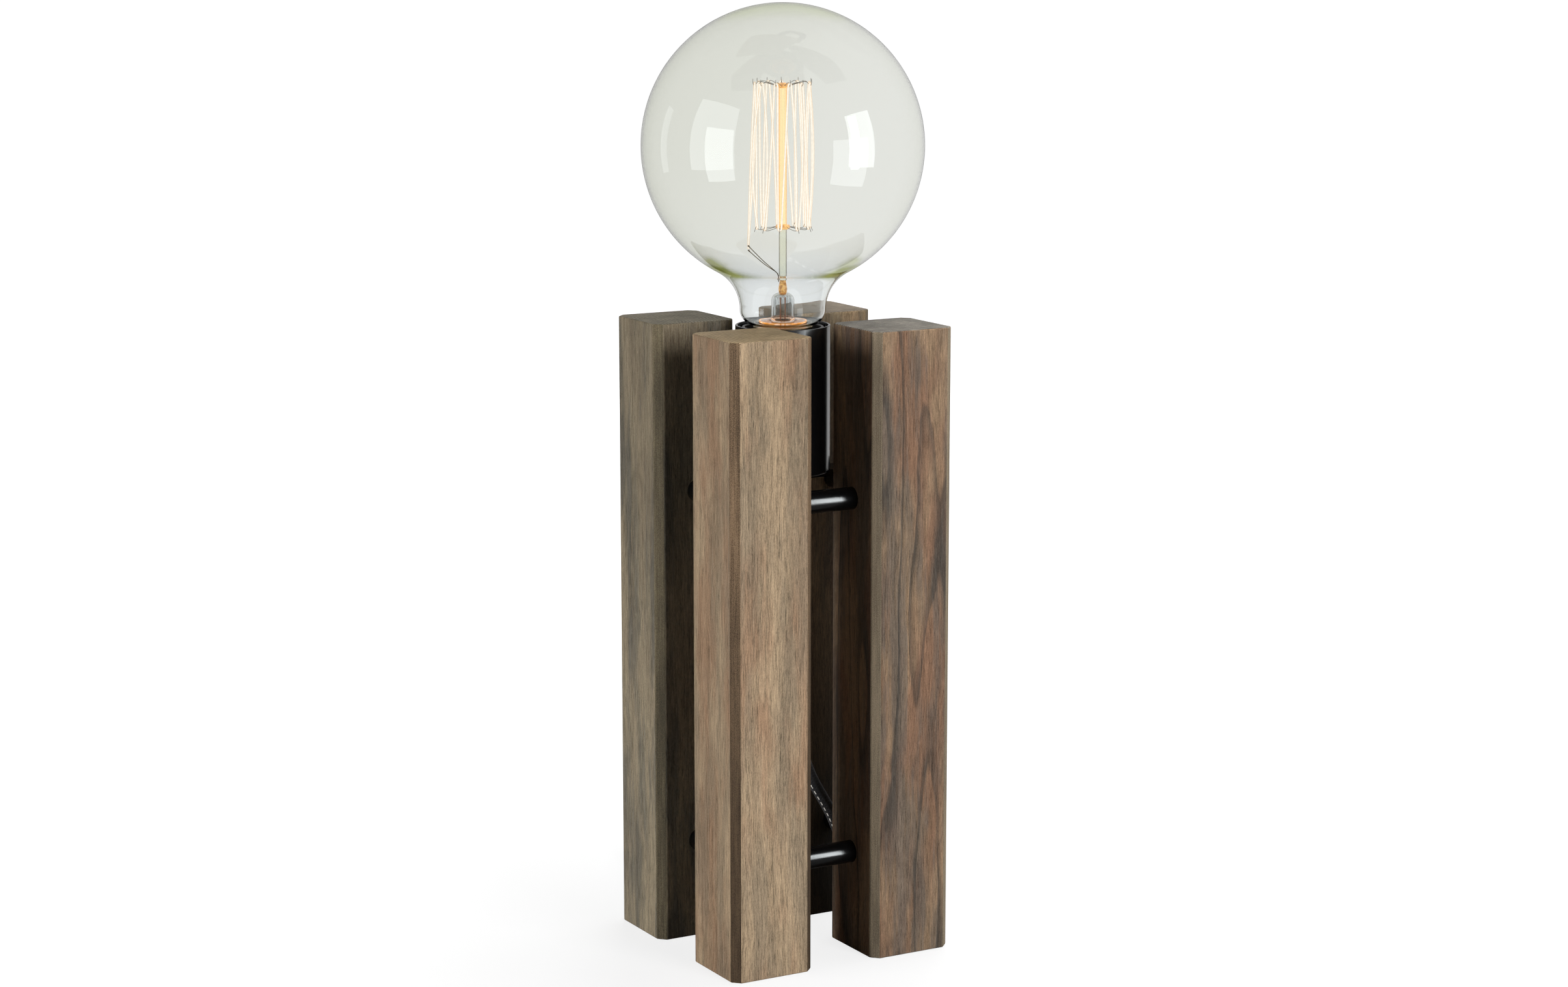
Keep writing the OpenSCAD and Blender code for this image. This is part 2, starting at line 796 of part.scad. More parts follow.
// Rocker on two stub pins, drawn pressed down at its far end
module switch_rocker() {
    color("#222222")
    at_switch(rocker_pivot_z)
        rotate([-rocker_tilt, 0, 0]) {
            rotate([90, 0, 90])
                translate([0, 0, -rocker_w / 2])
                linear_extrude(height = rocker_w)
                polygon([
                    [-rocker_half, 4.7], [-5, 3.8], [0, 3.5], [5, 3.8], [rocker_half, 4.7],
                    [rocker_half, 1.6], [3.5, -1.9], [-3.5, -1.9], [-rocker_half, 1.6]
                ]);
            rotate([0, 90, 0]) cylinder(r = rocker_pin_r, h = 2 * rocker_pin_reach, center = true);
        }
}

// Two brass blades on the floor of the switch, one on each side of the break
module switch_contacts() {
    color("#c8a24a")
    for (s = [-1, 1])
        at_switch(switch_wall)
            translate([0, s * 10, 0]) {
                translate([-3, -6, 0]) cube([6, 12, 0.8]);
                translate([-3, s > 0 ? 2 : -6, 0]) cube([6, 4, 4.2]);
            }
}

module switch_screws() {
    color("#b0b0b0")
    for (s = [-1, 1])
        at_switch(0) translate([s * boss_at[0], s * boss_at[1], 0]) {
            translate([0, 0, 0.2]) cylinder(r = cover_screw_head_r, h = 0.8);
            translate([0, 0, 0.2]) cylinder(r = cover_screw_r, h = 8);
        }
}

// Turns a part drawn along +X, from the cord's end, to lie on the coil with its pins towards the lamp
module at_plug() {
    translate(plug_at) rotate([0, 0, -90]) children();
}

// Flat plug body, widest at the pins
module plug_body() {
    w = plug_w / 2;
    neck = 7;
    color("#141414")
    at_plug()
    difference() {
        translate([relief_len, 0, -plug_t / 2])
            linear_extrude(height = plug_t)
            polygon([
                [0, -neck], [4, -neck - 1.5], [plug_len - 14, -w + 1], [plug_len - 10, -w],
                [plug_len - 1, -w], [plug_len, -w + 1], [plug_len, w - 1], [plug_len - 1, w],
                [plug_len - 10, w],
                [plug_len - 14, w - 1], [4, neck + 1.5], [0, neck]
            ]);
        for (s = [-1, 1])
            pin_line(s) translate([0, 0, -pin_root]) cylinder(r = pin_core_r + fit, h = pin_root + 1);
    }
}

// Puts +Z along a pin, with the origin where it leaves the body
module pin_line(side) {
    translate([relief_len + plug_len, side * pin_spread, 0])
        rotate([0, 0, -side * pin_lean])
        rotate([0, 90, 0])
        children();
}

// Moulded strain relief between cord and plug
module plug_relief() {
    color("#141414")
    at_plug()
    rotate([0, 90, 0])
        rotate_extrude()
        polygon([[0, 0], [3.5, 0], [3.8, 1], [6.2, relief_len], [0, relief_len]]);
}

// The thick ends of the pins are bare. The thin length next to the body is sleeved.
module plug_pins() {
    color("#c9c9c9")
    at_plug()
    for (s = [-1, 1])
        pin_line(s) {
            translate([0, 0, -pin_root]) cylinder(r = pin_core_r, h = pin_root + sleeve_len);
            translate([0, 0, sleeve_len]) cylinder(r = pin_r, h = pin_len - sleeve_len - 1);
            translate([0, 0, pin_len - 1]) cylinder(r1 = pin_r, r2 = pin_r - 0.8, h = 1);
        }
}

module plug_pin_sleeves() {
    color("#101010")
    at_plug()
    for (s = [-1, 1])
        pin_line(s) sleeve(pin_sleeve_r, pin_core_r + fit, 0.02, sleeve_len);
}

post(-1, -1);  // post_front_left
post(1, -1);  // post_front_right
post(-1, 1);  // post_back_left
post(1, 1);  // post_back_right
rod_x(-1, low_rod_z);  // low_rod_front
rod_x(1, low_rod_z);  // low_rod_back
rod_y(-1, low_rod_z, false);  // low_rod_left
rod_y(1, low_rod_z, false);  // low_rod_right
rod_x(-1, high_rod_z);  // high_rod_front
rod_x(1, high_rod_z);  // high_rod_back
rod_y(-1, high_rod_z, true);  // high_rod_left
rod_y(1, high_rod_z, true);  // high_rod_right
cup_strap();
strap_screws();
cup();
nipple();
lock_nut();
cord_grip();
live_lead();
neutral_lead();
holder_base();
holder_insulator();
holder_barrel();
holder_thread_shell();
holder_centre_contact();
holder_side_contact();
terminal(-1);  // live_terminal
terminal(1);  // neutral_terminal
terminal_screws();
bulb_glass();
bulb_cap_shell();
bulb_cap_insulator();
bulb_tip_contact();
stem_flare();
stem_pinch();
stem_rod();
lower_button();
top_button();
lower_supports();
top_supports();
filament();
lead_wires();
stem_lead_wires();
cord_lamp_side();
cord_to_coil();
cord_coil();
cord_plug_side();
switch_base();
switch_cover();
switch_rocker();
switch_contacts();
switch_screws();
plug_body();
plug_relief();
plug_pins();
plug_pin_sleeves();
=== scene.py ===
"""Looks of a bare bulb table lamp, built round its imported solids.

Four square timber posts stand in a square, held apart by two rings of round black rods. A black cup
between their tops carries a screw-cap holder and a clear globe bulb with a cage filament. A textile
cord hangs down inside and runs over an in-line switch to a coil and a flat plug behind the lamp.

Lengths are in metres. A size whose name ends in _mm is in millimetres, and mm() turns it into
metres. Every mesh is drawn where it stands, in the lamp's own frame: origin on the table under the
bulb's axis, +Z up, the front pair of posts on the -Y side.
"""

import logging
import math
from collections.abc import Callable, Sequence
from dataclasses import dataclass, field
from enum import Enum
from typing import ClassVar

import bmesh
import bpy
import numpy as np
from mathutils import Matrix


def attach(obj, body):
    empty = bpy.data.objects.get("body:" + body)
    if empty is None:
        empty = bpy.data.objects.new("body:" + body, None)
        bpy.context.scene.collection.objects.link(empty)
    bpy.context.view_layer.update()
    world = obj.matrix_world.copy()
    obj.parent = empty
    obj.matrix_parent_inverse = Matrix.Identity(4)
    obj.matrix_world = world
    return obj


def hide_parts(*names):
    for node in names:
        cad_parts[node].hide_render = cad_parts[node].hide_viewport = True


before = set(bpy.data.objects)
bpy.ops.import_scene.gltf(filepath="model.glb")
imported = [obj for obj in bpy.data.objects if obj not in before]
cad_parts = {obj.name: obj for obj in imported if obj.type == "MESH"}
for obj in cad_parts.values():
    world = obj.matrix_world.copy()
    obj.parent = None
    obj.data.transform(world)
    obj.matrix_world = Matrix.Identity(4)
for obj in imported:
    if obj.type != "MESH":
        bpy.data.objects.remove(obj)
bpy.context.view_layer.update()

LOG = logging.getLogger("lamp")
LAMP, BULB, ROCKER = "lamp", "bulb", "rocker"
TAU = 2 * math.pi
THREAD_PITCH = 0.0254 / 7  # seven turns to the inch
WHITE = (1.0, 1.0, 1.0)
UV_MAP = "along"
Colour = tuple[float, float, float]


def mm(values: float | Sequence) -> np.ndarray:
    """Millimetres to metres, for a number or a whole table."""
    return np.asarray(values, float) * 0.001


# ---- Shader arithmetic -----------------------


def math_node(kind: str, swapped: bool = False) -> Callable[..., "Sock"]:
    """Writes a method of Sock that adds one Math node.

    Args:
        kind: the node's operation.
        swapped: True for a reflected form, where the other value comes first.

    Returns:
        The method. It takes the other value, a Sock or a number, if the operation has one.
    """

    def method(self: "Sock", other: object = 0.0) -> "Sock":
        """The node's result."""
        first, second = (other, self) if swapped else (self, other)
        return self.tree.sock("ShaderNodeMath", {"operation": kind}, {0: first, 1: second})

    return method


class Sock:
    """An output socket on which Python's operators add Math nodes."""

    __add__ = __radd__ = math_node("ADD")
    __sub__, __rsub__ = math_node("SUBTRACT"), math_node("SUBTRACT", True)
    __mul__ = __rmul__ = math_node("MULTIPLY")
    __truediv__, __rtruediv__ = math_node("DIVIDE"), math_node("DIVIDE", True)
    __pow__, __rpow__ = math_node("POWER"), math_node("POWER", True)
    sin, abs, root, fract = map(math_node, ("SINE", "ABSOLUTE", "SQRT", "FRACT"))
    most = math_node("MAXIMUM")

    def __init__(self, tree: "Tree", out: bpy.types.NodeSocket) -> None:
        """Keeps the tree that new nodes go into, and the socket itself."""
        self.tree, self.out = tree, out

    def step(self, low: float, high: float) -> "Sock":
        """Smooth step of self.

        Args:
            low: the value below which the result is 0.
            high: the value above which the result is 1.

        Returns:
            The result.
        """
        ends = {"Value": self, "From Min": low, "From Max": high, "To Min": 0.0, "To Max": 1.0}
        return self.tree.sock("ShaderNodeMapRange", {"interpolation_type": "SMOOTHSTEP"}, ends)


class Tree:
    """A node tree with one way to add nodes."""

    def __init__(self, owner: bpy.types.Material | bpy.types.World) -> None:
        """Empties the owner's node tree and starts in it.

        Args:
            owner: the material or world that is drawn.
        """
        owner.use_nodes = True
        self.nodes, self.links = owner.node_tree.nodes, owner.node_tree.links
        self.nodes.clear()

    def node(
        self, kind: str, settings: dict | None = None, sockets: dict | None = None
    ) -> bpy.types.Node:
        """Adds a node.

        Args:
            kind: the node's type.
            settings: its properties, set first.
            sockets: values or links of its inputs, by name or number.

        Returns:
            The node.
        """
        new = self.nodes.new(kind)
        for name, value in (settings or {}).items():
            setattr(new, name, value)
        for name, value in (sockets or {}).items():
            if isinstance(value, Sock):
                self.links.new(value.out, new.inputs[name])
            else:
                new.inputs[name].default_value = value
        return new

    def sock(self, *node: object, out: int | str = 0) -> Sock:
        """Adds a node as node() does, and gives one of its outputs, by name or number."""
        return Sock(self, self.node(*node).outputs[out])

    def place(self) -> Sock:
        """The point on the piece, in metres."""
        return self.sock("ShaderNodeTexCoord", out="Object")

    def facing(self) -> Sock:
        """How far the surface turns away from the ray: 0 square on, 1 edge on."""
        return self.sock("ShaderNodeLayerWeight", None, {"Blend": 0.5}, out="Facing")

    def split(self, vector: Sock) -> tuple[Sock, ...]:
        """The three parts of a vector."""
        parts = self.node("ShaderNodeSeparateXYZ", None, {0: vector})
        return tuple(Sock(self, out) for out in parts.outputs)

    def join(self, x: object, y: object, z: object) -> Sock:
        """A vector from its three parts."""
        return self.sock("ShaderNodeCombineXYZ", None, {0: x, 1: y, 2: z})

    def vector(self, kind: str, first: Sock, second: object) -> Sock:
        """One Vector Math node, which works on the three parts of vectors or colours."""
        return self.sock("ShaderNodeVectorMath", {"operation": kind}, {0: first, 1: second})

    def noise(
        self, vector: Sock, scale: float | Sequence[float], detail: float = 2.0,
        rough: float = 0.5, seed: float = 0.0,
    ) -> Sock:
        """Smooth noise from 0 to 1, about 0.5 on average.

        Args:
            vector: where it is read.
            scale: how many features lie in a metre, one number or one for each axis.
            detail: number of finer layers.
            rough: strength of each finer layer.
            seed: shifts the pattern.

        Returns:
            The noise.
        """
        spread = tuple(scale) if isinstance(scale, Sequence) else (scale,) * 3
        at = self.vector("MULTIPLY", vector, spread)
        at = self.vector("ADD", at, (seed, seed * 1.7, seed * 0.6))
        layers = {"Vector": at, "Scale": 1.0, "Detail": detail, "Roughness": rough}
        return self.sock("ShaderNodeTexNoise", None, layers, out="Fac")

    def mix(self, low: object, high: object, share: object) -> Sock:
        """Mixes two colours.

        Args:
            low: colour where share is 0, a Sock or a Colour.
            high: colour where share is 1.
            share: from 0 to 1.

        Returns:
            The colour.
        """
        ends = [end if isinstance(end, Sock) else (*end, 1.0) for end in (low, high)]
        sockets = {0: share, 6: ends[0], 7: ends[1]}
        return self.sock("ShaderNodeMix", {"data_type": "RGBA"}, sockets, out=2)

    def shade(self, colour: Sock, factor: Sock) -> Sock:
        """Multiplies a colour by a number."""
        return self.vector("MULTIPLY", colour, self.join(factor, factor, factor))

    def bump(self, height: Sock, depth: float, strength: float) -> Sock:
        """Normal of a surface with small relief.

        Args:
            height: from 0 to 1.
            depth: relief in metres where height is 1.
            strength: share of the relief that shows.

        Returns:
            The normal.
        """
        relief = {"Strength": strength, "Distance": depth, "Height": height}
        return self.sock("ShaderNodeBump", None, relief, out="Normal")

    def finish(self, inputs: dict) -> None:
        """Ends the tree in a Principled surface with these values or links of its inputs."""
        surface = self.sock("ShaderNodeBsdfPrincipled", None, inputs)
        self.node("ShaderNodeOutputMaterial", None, {"Surface": surface})


# ---- Finishes --------------------------------


class Finish:
    """Something that can be made into a material."""

    made: ClassVar[dict[str, bpy.types.Material]] = {}

    def dress(self, tree: Tree) -> None:
        """Draws the finish in a node tree."""
        raise NotImplementedError

    def material(self, name: str) -> bpy.types.Material:
        """Makes the material, or gives the one already made here under that name.

        Args:
            name: what the finish is called.

        Returns:
            The material.
        """
        if name not in Finish.made:
            Finish.made[name] = bpy.data.materials.new(f"{name}_finish")
            self.dress(Tree(Finish.made[name]))
        return Finish.made[name]


Coat = tuple[str, Finish]


@dataclass(frozen=True)
class StainedTimber(Finish):
    """Sawn and stained timber along the grain: wavy fibres, dark pores, clouds of warm and grey
    stain, and on some posts the dark lines of the heartwood. Some posts also get painted light and
    shade: the colour is lightened or darkened towards the foot and the head."""

    pale: Colour
    warm: Colour
    grey: Colour
    seed: float
    warm_share: float = 0.7
    grey_share: float = 0.7
    line: Colour = (0.045, 0.040, 0.034)
    line_share: float = 0.0
    line_scale: tuple[float, float, float] = (44.0, 44.0, 4.2)
    lines: float = 5.0
    waves: tuple = (((9, 9, 5), 0.010, 0), ((70, 70, 26), 0.0022, 3), ((420, 420, 130), 0.0003, 5))
    # painted light and shade: factors on the colour at the foot and at the head of the post
    painted_foot_light: float = 1.0
    painted_head_light: float = 1.0

    def _grain(self, tree: Tree, at: Sock) -> Sock:
        """Where the grain lies: the point, moved sideways by slow, middling and short waves.

        Args:
            tree: the node tree.
            at: the point.

        Returns:
            The moved point.
        """
        x, y, z = tree.split(at)
        for scale, size, seed in self.waves:
            x = x + (tree.noise(at, scale, 1, 0.5, self.seed + seed) - 0.5) * size
            y = y + (tree.noise(at, scale, 1, 0.5, self.seed + seed + 17) - 0.5) * size
        return tree.join(x, y, z)

    def dress(self, tree: Tree) -> None:
        """Stain in slow clouds, then heartwood lines, then strands, fibres and pores over both,
        then painted light and shade by height.

        Args:
            tree: an empty node tree.
        """
        at, seed = tree.place(), self.seed
        grain = self._grain(tree, at)
        fibre = tree.noise(grain, (3000, 3000, 120), 2, 0.65, seed)
        strand = tree.noise(grain, (900, 900, 13), 3, 0.62, seed + 3)
        speck = tree.noise(at, (3400, 3400, 1300), 1, 0.5, seed + 9)
        pores = tree.noise(grain, (3600, 3600, 210), 1, 0.5, seed + 8).step(0.62, 0.70)
        band = tree.noise(grain, (260, 260, 4.5), 2, 0.6, seed + 4)
        warmth = tree.noise(at, (62, 62, 16), 2, 0.6, seed + 2)
        cloud = tree.noise(grain, (85, 85, 12), 3, 0.65, seed + 11)
        warmth = (warmth * 0.8 + strand * 0.2).step(0.42, 0.60)
        grey = (cloud * 0.6 + band * 0.2 + strand * 0.2).step(0.45, 0.58)
        colour = tree.mix(self.pale, self.warm, warmth * self.warm_share)
        colour = tree.mix(colour, self.grey, grey * self.grey_share)
        if self.line_share:
            ripple = tree.noise(grain, self.line_scale, 1, 0.5, seed + 6)
            ripple = (ripple * self.lines).fract()
            edge = ripple.step(0.60, 0.94) ** 1.5 * (1 - ripple.step(0.95, 1.0))
            colour = tree.mix(colour, self.line, edge * self.line_share * (0.30 + cloud))
        shade = 1 + (fibre - 0.5) * 1.95 + (strand - 0.5) * 1.35 + (speck - 0.5) * 0.75
        shade = shade * (0.72 + band * 0.56) * (1 - pores * 0.38)
        # painted light and shade: the colour lightened or darkened from the foot to the head
        if self.painted_foot_light != self.painted_head_light:
            rise = tree.split(at)[2].step(0.05, 0.26)
            shade = shade * (self.painted_foot_light + rise * (self.painted_head_light - self.painted_foot_light))
        relief = fibre * 0.5 + speck * 0.5 - pores * 0.5
        tree.finish({
            "Base Color": tree.shade(colour, shade), "Roughness": 0.66 + fibre * 0.2,
            "Normal": tree.bump(relief, 0.0002, 0.4), "Specular IOR Level": 0.12,
        })


@dataclass(frozen=True)
class ChamferedTimber(Finish):
    """The planed-off corners: darker, and rubbed rough, so that stain stands in fine specks. Their
    colour can also get painted shade towards the foot.
    """

    pale: Colour
    dark: Colour
    seed: float
    # painted shade: factor on the colour at the foot
    painted_foot_light: float = 1.0

    def dress(self, tree: Tree) -> None:
        """Specks over short fibres, in slow clouds, with painted shade towards the foot.

        Args:
            tree: an empty node tree.
        """
        at = tree.place()
        speck = tree.noise(at, (4200, 4200, 2100), 2, 0.6, self.seed)
        fibre = tree.noise(at, (2600, 2600, 60), 3, 0.6, self.seed + 2)
        cloud = tree.noise(at, (110, 110, 13), 3, 0.6, self.seed + 4)
        share = (speck * 0.45 + fibre * 0.30 + cloud * 0.25).step(0.36, 0.64)
        # painted shade: darker towards the foot by painted_foot_light
        tone = self.painted_foot_light + tree.split(at)[2].step(0.05, 0.24) * (1 - self.painted_foot_light)
        colour = tree.shade(tree.mix(self.dark, self.pale, share), (0.7 + cloud * 0.6) * tone)
        tree.finish({
            "Base Color": colour, "Roughness": 0.72 + speck * 0.15,
            "Normal": tree.bump(speck, 0.0004, 0.5), "Specular IOR Level": 0.2,
        })


@dataclass(frozen=True)
class EndGrain(Finish):
    """Sawn end of a post: growth rings round a pith beside it, with pores between them."""

    pale: Colour
    dark: Colour
    pith: tuple[float, float]
    ring: float
    seed: float

    def dress(self, tree: Tree) -> None:
        """Rings by distance from the pith, bent a little, with pores and saw marks.

        Args:
            tree: an empty node tree.
        """
        at = tree.place()
        x, y, _ = tree.split(at)
        x = x + (tree.noise(at, 90, 2, 0.5, self.seed) - 0.5) * 0.004 - self.pith[0]
        y = y + (tree.noise(at, 90, 2, 0.5, self.seed + 5) - 0.5) * 0.004 - self.pith[1]
        rings = (((x * x + y * y).root() * (TAU / self.ring)).sin() * 0.5 + 0.5) ** 2.0
        pores = tree.noise(at, 2600, 2, 0.6, self.seed + 2)
        cloud = tree.noise(at, 120, 3, 0.6, self.seed + 3)
        share = (rings * 0.35 + pores * 0.40 + cloud * 0.35).step(0.32, 0.72)
        tree.finish({
            "Base Color": tree.shade(tree.mix(self.dark, self.pale, share), 0.75 + cloud * 0.5),
            "Roughness": 0.75 + pores * 0.15, "Specular IOR Level": 0.2,
            "Normal": tree.bump(rings * 0.4 + pores * 0.6, 0.0003, 0.5),
        })


@dataclass(frozen=True)
class SatinPaint(Finish):
    """Powder coat on steel: even, with the faint orange peel of such a coat."""

    colour: Colour = (0.0015, 0.0015, 0.0017)
    gloss: float = 0.17
    grain: float = 900.0

    def dress(self, tree: Tree) -> None:
        """Peel in the relief, and a little cloud in the gloss.

        Args:
            tree: an empty node tree.
        """
        peel = tree.noise(tree.place(), self.grain)
        cloud = tree.noise(tree.place(), 60, seed=4)
        lighter = tuple(part * 1.5 + 0.0005 for part in self.colour)
        tree.finish({
            "Base Color": tree.mix(self.colour, lighter, peel), "Specular IOR Level": 0.5,
            "Roughness": self.gloss + cloud * 0.08, "Normal": tree.bump(peel, 0.00004, 0.35),
        })


@dataclass(frozen=True)
class Metal(Finish):
    """Bare or plated metal with fine draw marks and slight tarnish."""

    colour: Colour
    tarnish: Colour
    rough: float
    marks: tuple[float, float, float] = (300.0, 300.0, 2500.0)

    def dress(self, tree: Tree) -> None:
        """Marks in the relief and gloss, tarnish in the colour.

        Args:
            tree: an empty node tree.
        """
        drawn = tree.noise(tree.place(), self.marks, 3, 0.6)
        spots = tree.noise(tree.place(), 180, 3, 0.6, 2).step(0.5, 0.8)
        tree.finish({
            "Base Color": tree.mix(self.colour, self.tarnish, spots * 0.7), "Metallic": 1.0,
            "Roughness": self.rough + drawn * 0.18, "Normal": tree.bump(drawn, 0.00003, 0.3),
        })


@dataclass(frozen=True)
class Moulding(Finish):
    """Moulded plastic, glazed ceramic or enamel: fine texture and a little wear."""

    colour: Colour = (0.012, 0.012, 0.013)
    rough: float = 0.38
    grain: float = 2200.0
    relief: float = 0.00004

    def dress(self, tree: Tree) -> None:
        """Texture in the relief, handling marks in the gloss.

        Args:
            tree: an empty node tree.
        """
        texture = tree.noise(tree.place(), self.grain, 2, 0.55)
        handled = tree.noise(tree.place(), 45, 3, 0.6, 9)
        lighter = tuple(min(1.0, part * 1.35 + 0.003) for part in self.colour)
        tree.finish({
            "Base Color": tree.mix(self.colour, lighter, handled),
            "Roughness": self.rough + handled * 0.16,
            "Normal": tree.bump(texture, self.relief, 0.4),
        })


@dataclass(frozen=True)
class BlownGlass(Finish):
    """Blown or drawn glass. It shows more of its own colour where it is seen edge on, has another
    tint below a height, and can have a painted reflection that darkens one side and lightens the
    other, an olive waist, dark streaks, and painted filament light, as emission, between two
    heights."""

    tint: Colour = (0.937, 0.944, 0.912)
    low_tint: Colour = (0.965, 0.985, 0.985)
    low_at: float = 0.306
    edge_tint: Colour = (0.86, 0.87, 0.80)
    top_tint: Colour = (0.72, 0.78, 0.46)
    top_at: float = 1.0
    edge: tuple[float, float] = (0.45, 1.0)
    waist_tint: Colour = (0.24, 0.28, 0.03)
    waist: float = 0.0
    # painted reflection: two colour factors swept across the glass from one side to the other, and
    # the slope of that sweep
    painted_light_sweep: tuple[Colour, ...] = ()
    painted_light_slope: tuple[float, float, float] = (0.79, 0.45, 0.42)
    middle: float = 0.3568
    streaks: float = 0.0
    wave: float = 0.00002
    # painted filament light: emission between two heights, on glass that is no lamp
    painted_filament_light: Colour | None = None
    painted_filament_light_rim: Colour = (0.0, 0.0, 0.0)
    painted_light_out: float = 0.0
    painted_light_from: float = 0.0
    painted_light_to: float = 0.0

    def dress(self, tree: Tree) -> None:
        """Tint by height and slant, painted reflection across it, waves in the relief, and painted
        filament light between two heights.

        Args:
            tree: an empty node tree.
        """
        x, y, z = tree.split(tree.place())
        slant = tree.facing()
        top = z.step(self.top_at - 0.004, self.top_at + 0.002)
        body, rim = self.tint, tree.mix(self.edge_tint, self.top_tint, top)
        # painted reflection: darker on one side, lighter on the other
        if self.painted_light_sweep:
            right, back, down = self.painted_light_slope
            across = (x * right - y * back - (z - self.middle) * down).step(-0.06, 0.04)
            painted_light_sweep = tree.mix(*self.painted_light_sweep, across)
            body, rim = tree.vector("MULTIPLY", painted_light_sweep, body), tree.vector("MULTIPLY", rim, painted_light_sweep)
        body = tree.mix(self.low_tint, body, z.step(self.low_at - 0.004, self.low_at + 0.004))
        colour = tree.mix(body, rim, slant.step(*self.edge))
        if self.waist:
            near = z.step(self.low_at - 0.008, self.low_at - 0.004)
            near = near * (1 - z.step(self.low_at - 0.0005, self.low_at + 0.002))
            colour = tree.mix(colour, self.waist_tint, near * slant.step(0.58, 0.74) * self.waist)
        if self.streaks:
            line = tree.noise(tree.place(), (900, 900, 22), 2, 0.6, 6).step(0.38, 0.62)
            colour = tree.shade(colour, 1 - line * self.streaks)
        ripple = tree.noise(tree.place(), (70, 70, 25), 1, 0.4, 3)
        inputs = {
            "Base Color": colour, "Normal": tree.bump(ripple, self.wave, 0.5),
            "Transmission Weight": 1.0, "IOR": 1.45, "Roughness": 0.0,
        }
        # painted filament light, given as emission
        if self.painted_filament_light:
            lit = z.step(self.painted_light_from - 0.0005, self.painted_light_from + 0.0005)
            lit = lit * (1 - z.step(self.painted_light_to - 0.0005, self.painted_light_to + 0.0005))
            share = slant.step(*self.edge)
            if self.painted_light_out:
                out = (x * x + y * y).root()
                share = 1 - out.step(self.painted_light_out - 0.0002, self.painted_light_out + 0.0002)
            painted_light_colour = tree.mix(self.painted_filament_light, self.painted_filament_light_rim, share)
            inputs |= {"Emission Color": tree.shade(painted_light_colour, lit), "Emission Strength": 1.0}
        tree.finish(inputs)


@dataclass(frozen=True)
class AmberBead(Finish):
    """Fused glass in brown and gold, with painted light from the filament beside it: its own colour
    given again as emission.
    """

    # strength of the painted filament light
    power: float
    grain: float
    gold: Colour = (1.0, 0.58, 0.18)
    brown: Colour = (0.50, 0.20, 0.04)

    def dress(self, tree: Tree) -> None:
        """Gold and brown in blotches, with lumps in the relief, and the same colour as painted
        light.

        Args:
            tree: an empty node tree.
        """
        blotch = tree.noise(tree.place(), self.grain, 3, 0.6).step(0.35, 0.65)
        colour = tree.mix(self.brown, self.gold, blotch)
        # painted light: the colour is also given as emission
        tree.finish({
            "Base Color": colour, "Emission Color": colour, "Emission Strength": self.power,
            "Normal": tree.bump(blotch, 0.0002, 0.5), "Roughness": 0.12, "Coat Weight": 1.0,
        })


@dataclass(frozen=True)
class HotWire(Finish):
    """Filament at working heat. Its middle line is the brightest, and its edges fade in an orange
    rim, as a glowing wire looks to the eye."""

    hot: Colour = (1.0, 0.96, 0.88)
    rim: Colour = (1.0, 0.66, 0.36)
    power: float = 1.08

    def dress(self, tree: Tree) -> None:
        """Colour and cover by how far the surface turns away, with fine beads along the wire.

        Args:
            tree: an empty node tree.
        """
        slant = tree.facing()
        beads = tree.noise(tree.place(), 900)
        colour = tree.mix(self.hot, self.rim, slant.step(0.06, 0.42))
        tree.finish({
            "Base Color": (0.0, 0.0, 0.0, 1.0), "Roughness": 0.6, "Specular IOR Level": 0.0,
            "Emission Color": tree.shade(colour, 0.85 + beads * 0.3),
            "Emission Strength": self.power, "Alpha": 1 - slant.step(0.10, 0.55) * 0.84,
        })


@dataclass(frozen=True)
class Braid(Finish):
    """Woven textile sleeve with a painted highlight: one fine pale dashed line along one side. It
    reads the cord's own UV map: U is the length along the cord in metres, V goes once round it."""

    colour: Colour = (0.012, 0.012, 0.013)
    worn: Colour = (0.035, 0.035, 0.037)
    # painted highlight colour; painted_highlight_at and dash place it round the cord and break it
    # into dashes
    painted_highlight: Colour = (0.75, 0.73, 0.68)
    pitch: float = 0.012
    strands: int = 8
    painted_highlight_at: float = 0.30
    dash: float = 0.0032

    def dress(self, tree: Tree) -> None:
        """Two families of helical strands, each a row of ridges, over and under by turns.

        Args:
            tree: an empty node tree.
        """
        uv = tree.sock("ShaderNodeUVMap", {"uv_map": UV_MAP})
        along, around, _ = tree.split(uv)
        turns = along / self.pitch
        left = ((turns + around) * self.strands * math.pi).sin().abs()
        right = ((turns - around) * self.strands * math.pi).sin().abs()
        over = ((turns * self.strands * TAU).sin() * 0.5 + 0.5).step(0.3, 0.7)
        weave = left * over + right * (1 - over)
        fuzz = tree.noise(uv, (9000, 60, 1), 2, 0.7)
        # painted highlight: a pale dashed line at one place round the cord
        line = 1 - (around - self.painted_highlight_at).abs().step(0.012, 0.020)
        dash = (along * (TAU / self.dash)).sin().step(-0.35, 0.05)
        cloth = tree.mix(self.colour, self.worn, weave * 0.5 + fuzz * 0.5)
        tree.finish({
            "Base Color": tree.mix(cloth, self.painted_highlight, line * dash), "Sheen Weight": 0.15,
            "Roughness": 0.72 + fuzz * 0.2, "Sheen Roughness": 0.4, "Specular IOR Level": 0.3,
            "Normal": tree.bump(weave * 0.8 + fuzz * 0.2, 0.00035, 0.7),
        })


# ---- Surfaces --------------------------------


def carried(points: np.ndarray, matrix: Matrix) -> np.ndarray:
    """Points after a rigid move."""
    move = np.array(matrix, float)
    return points @ move[:3, :3].T + move[:3, 3]


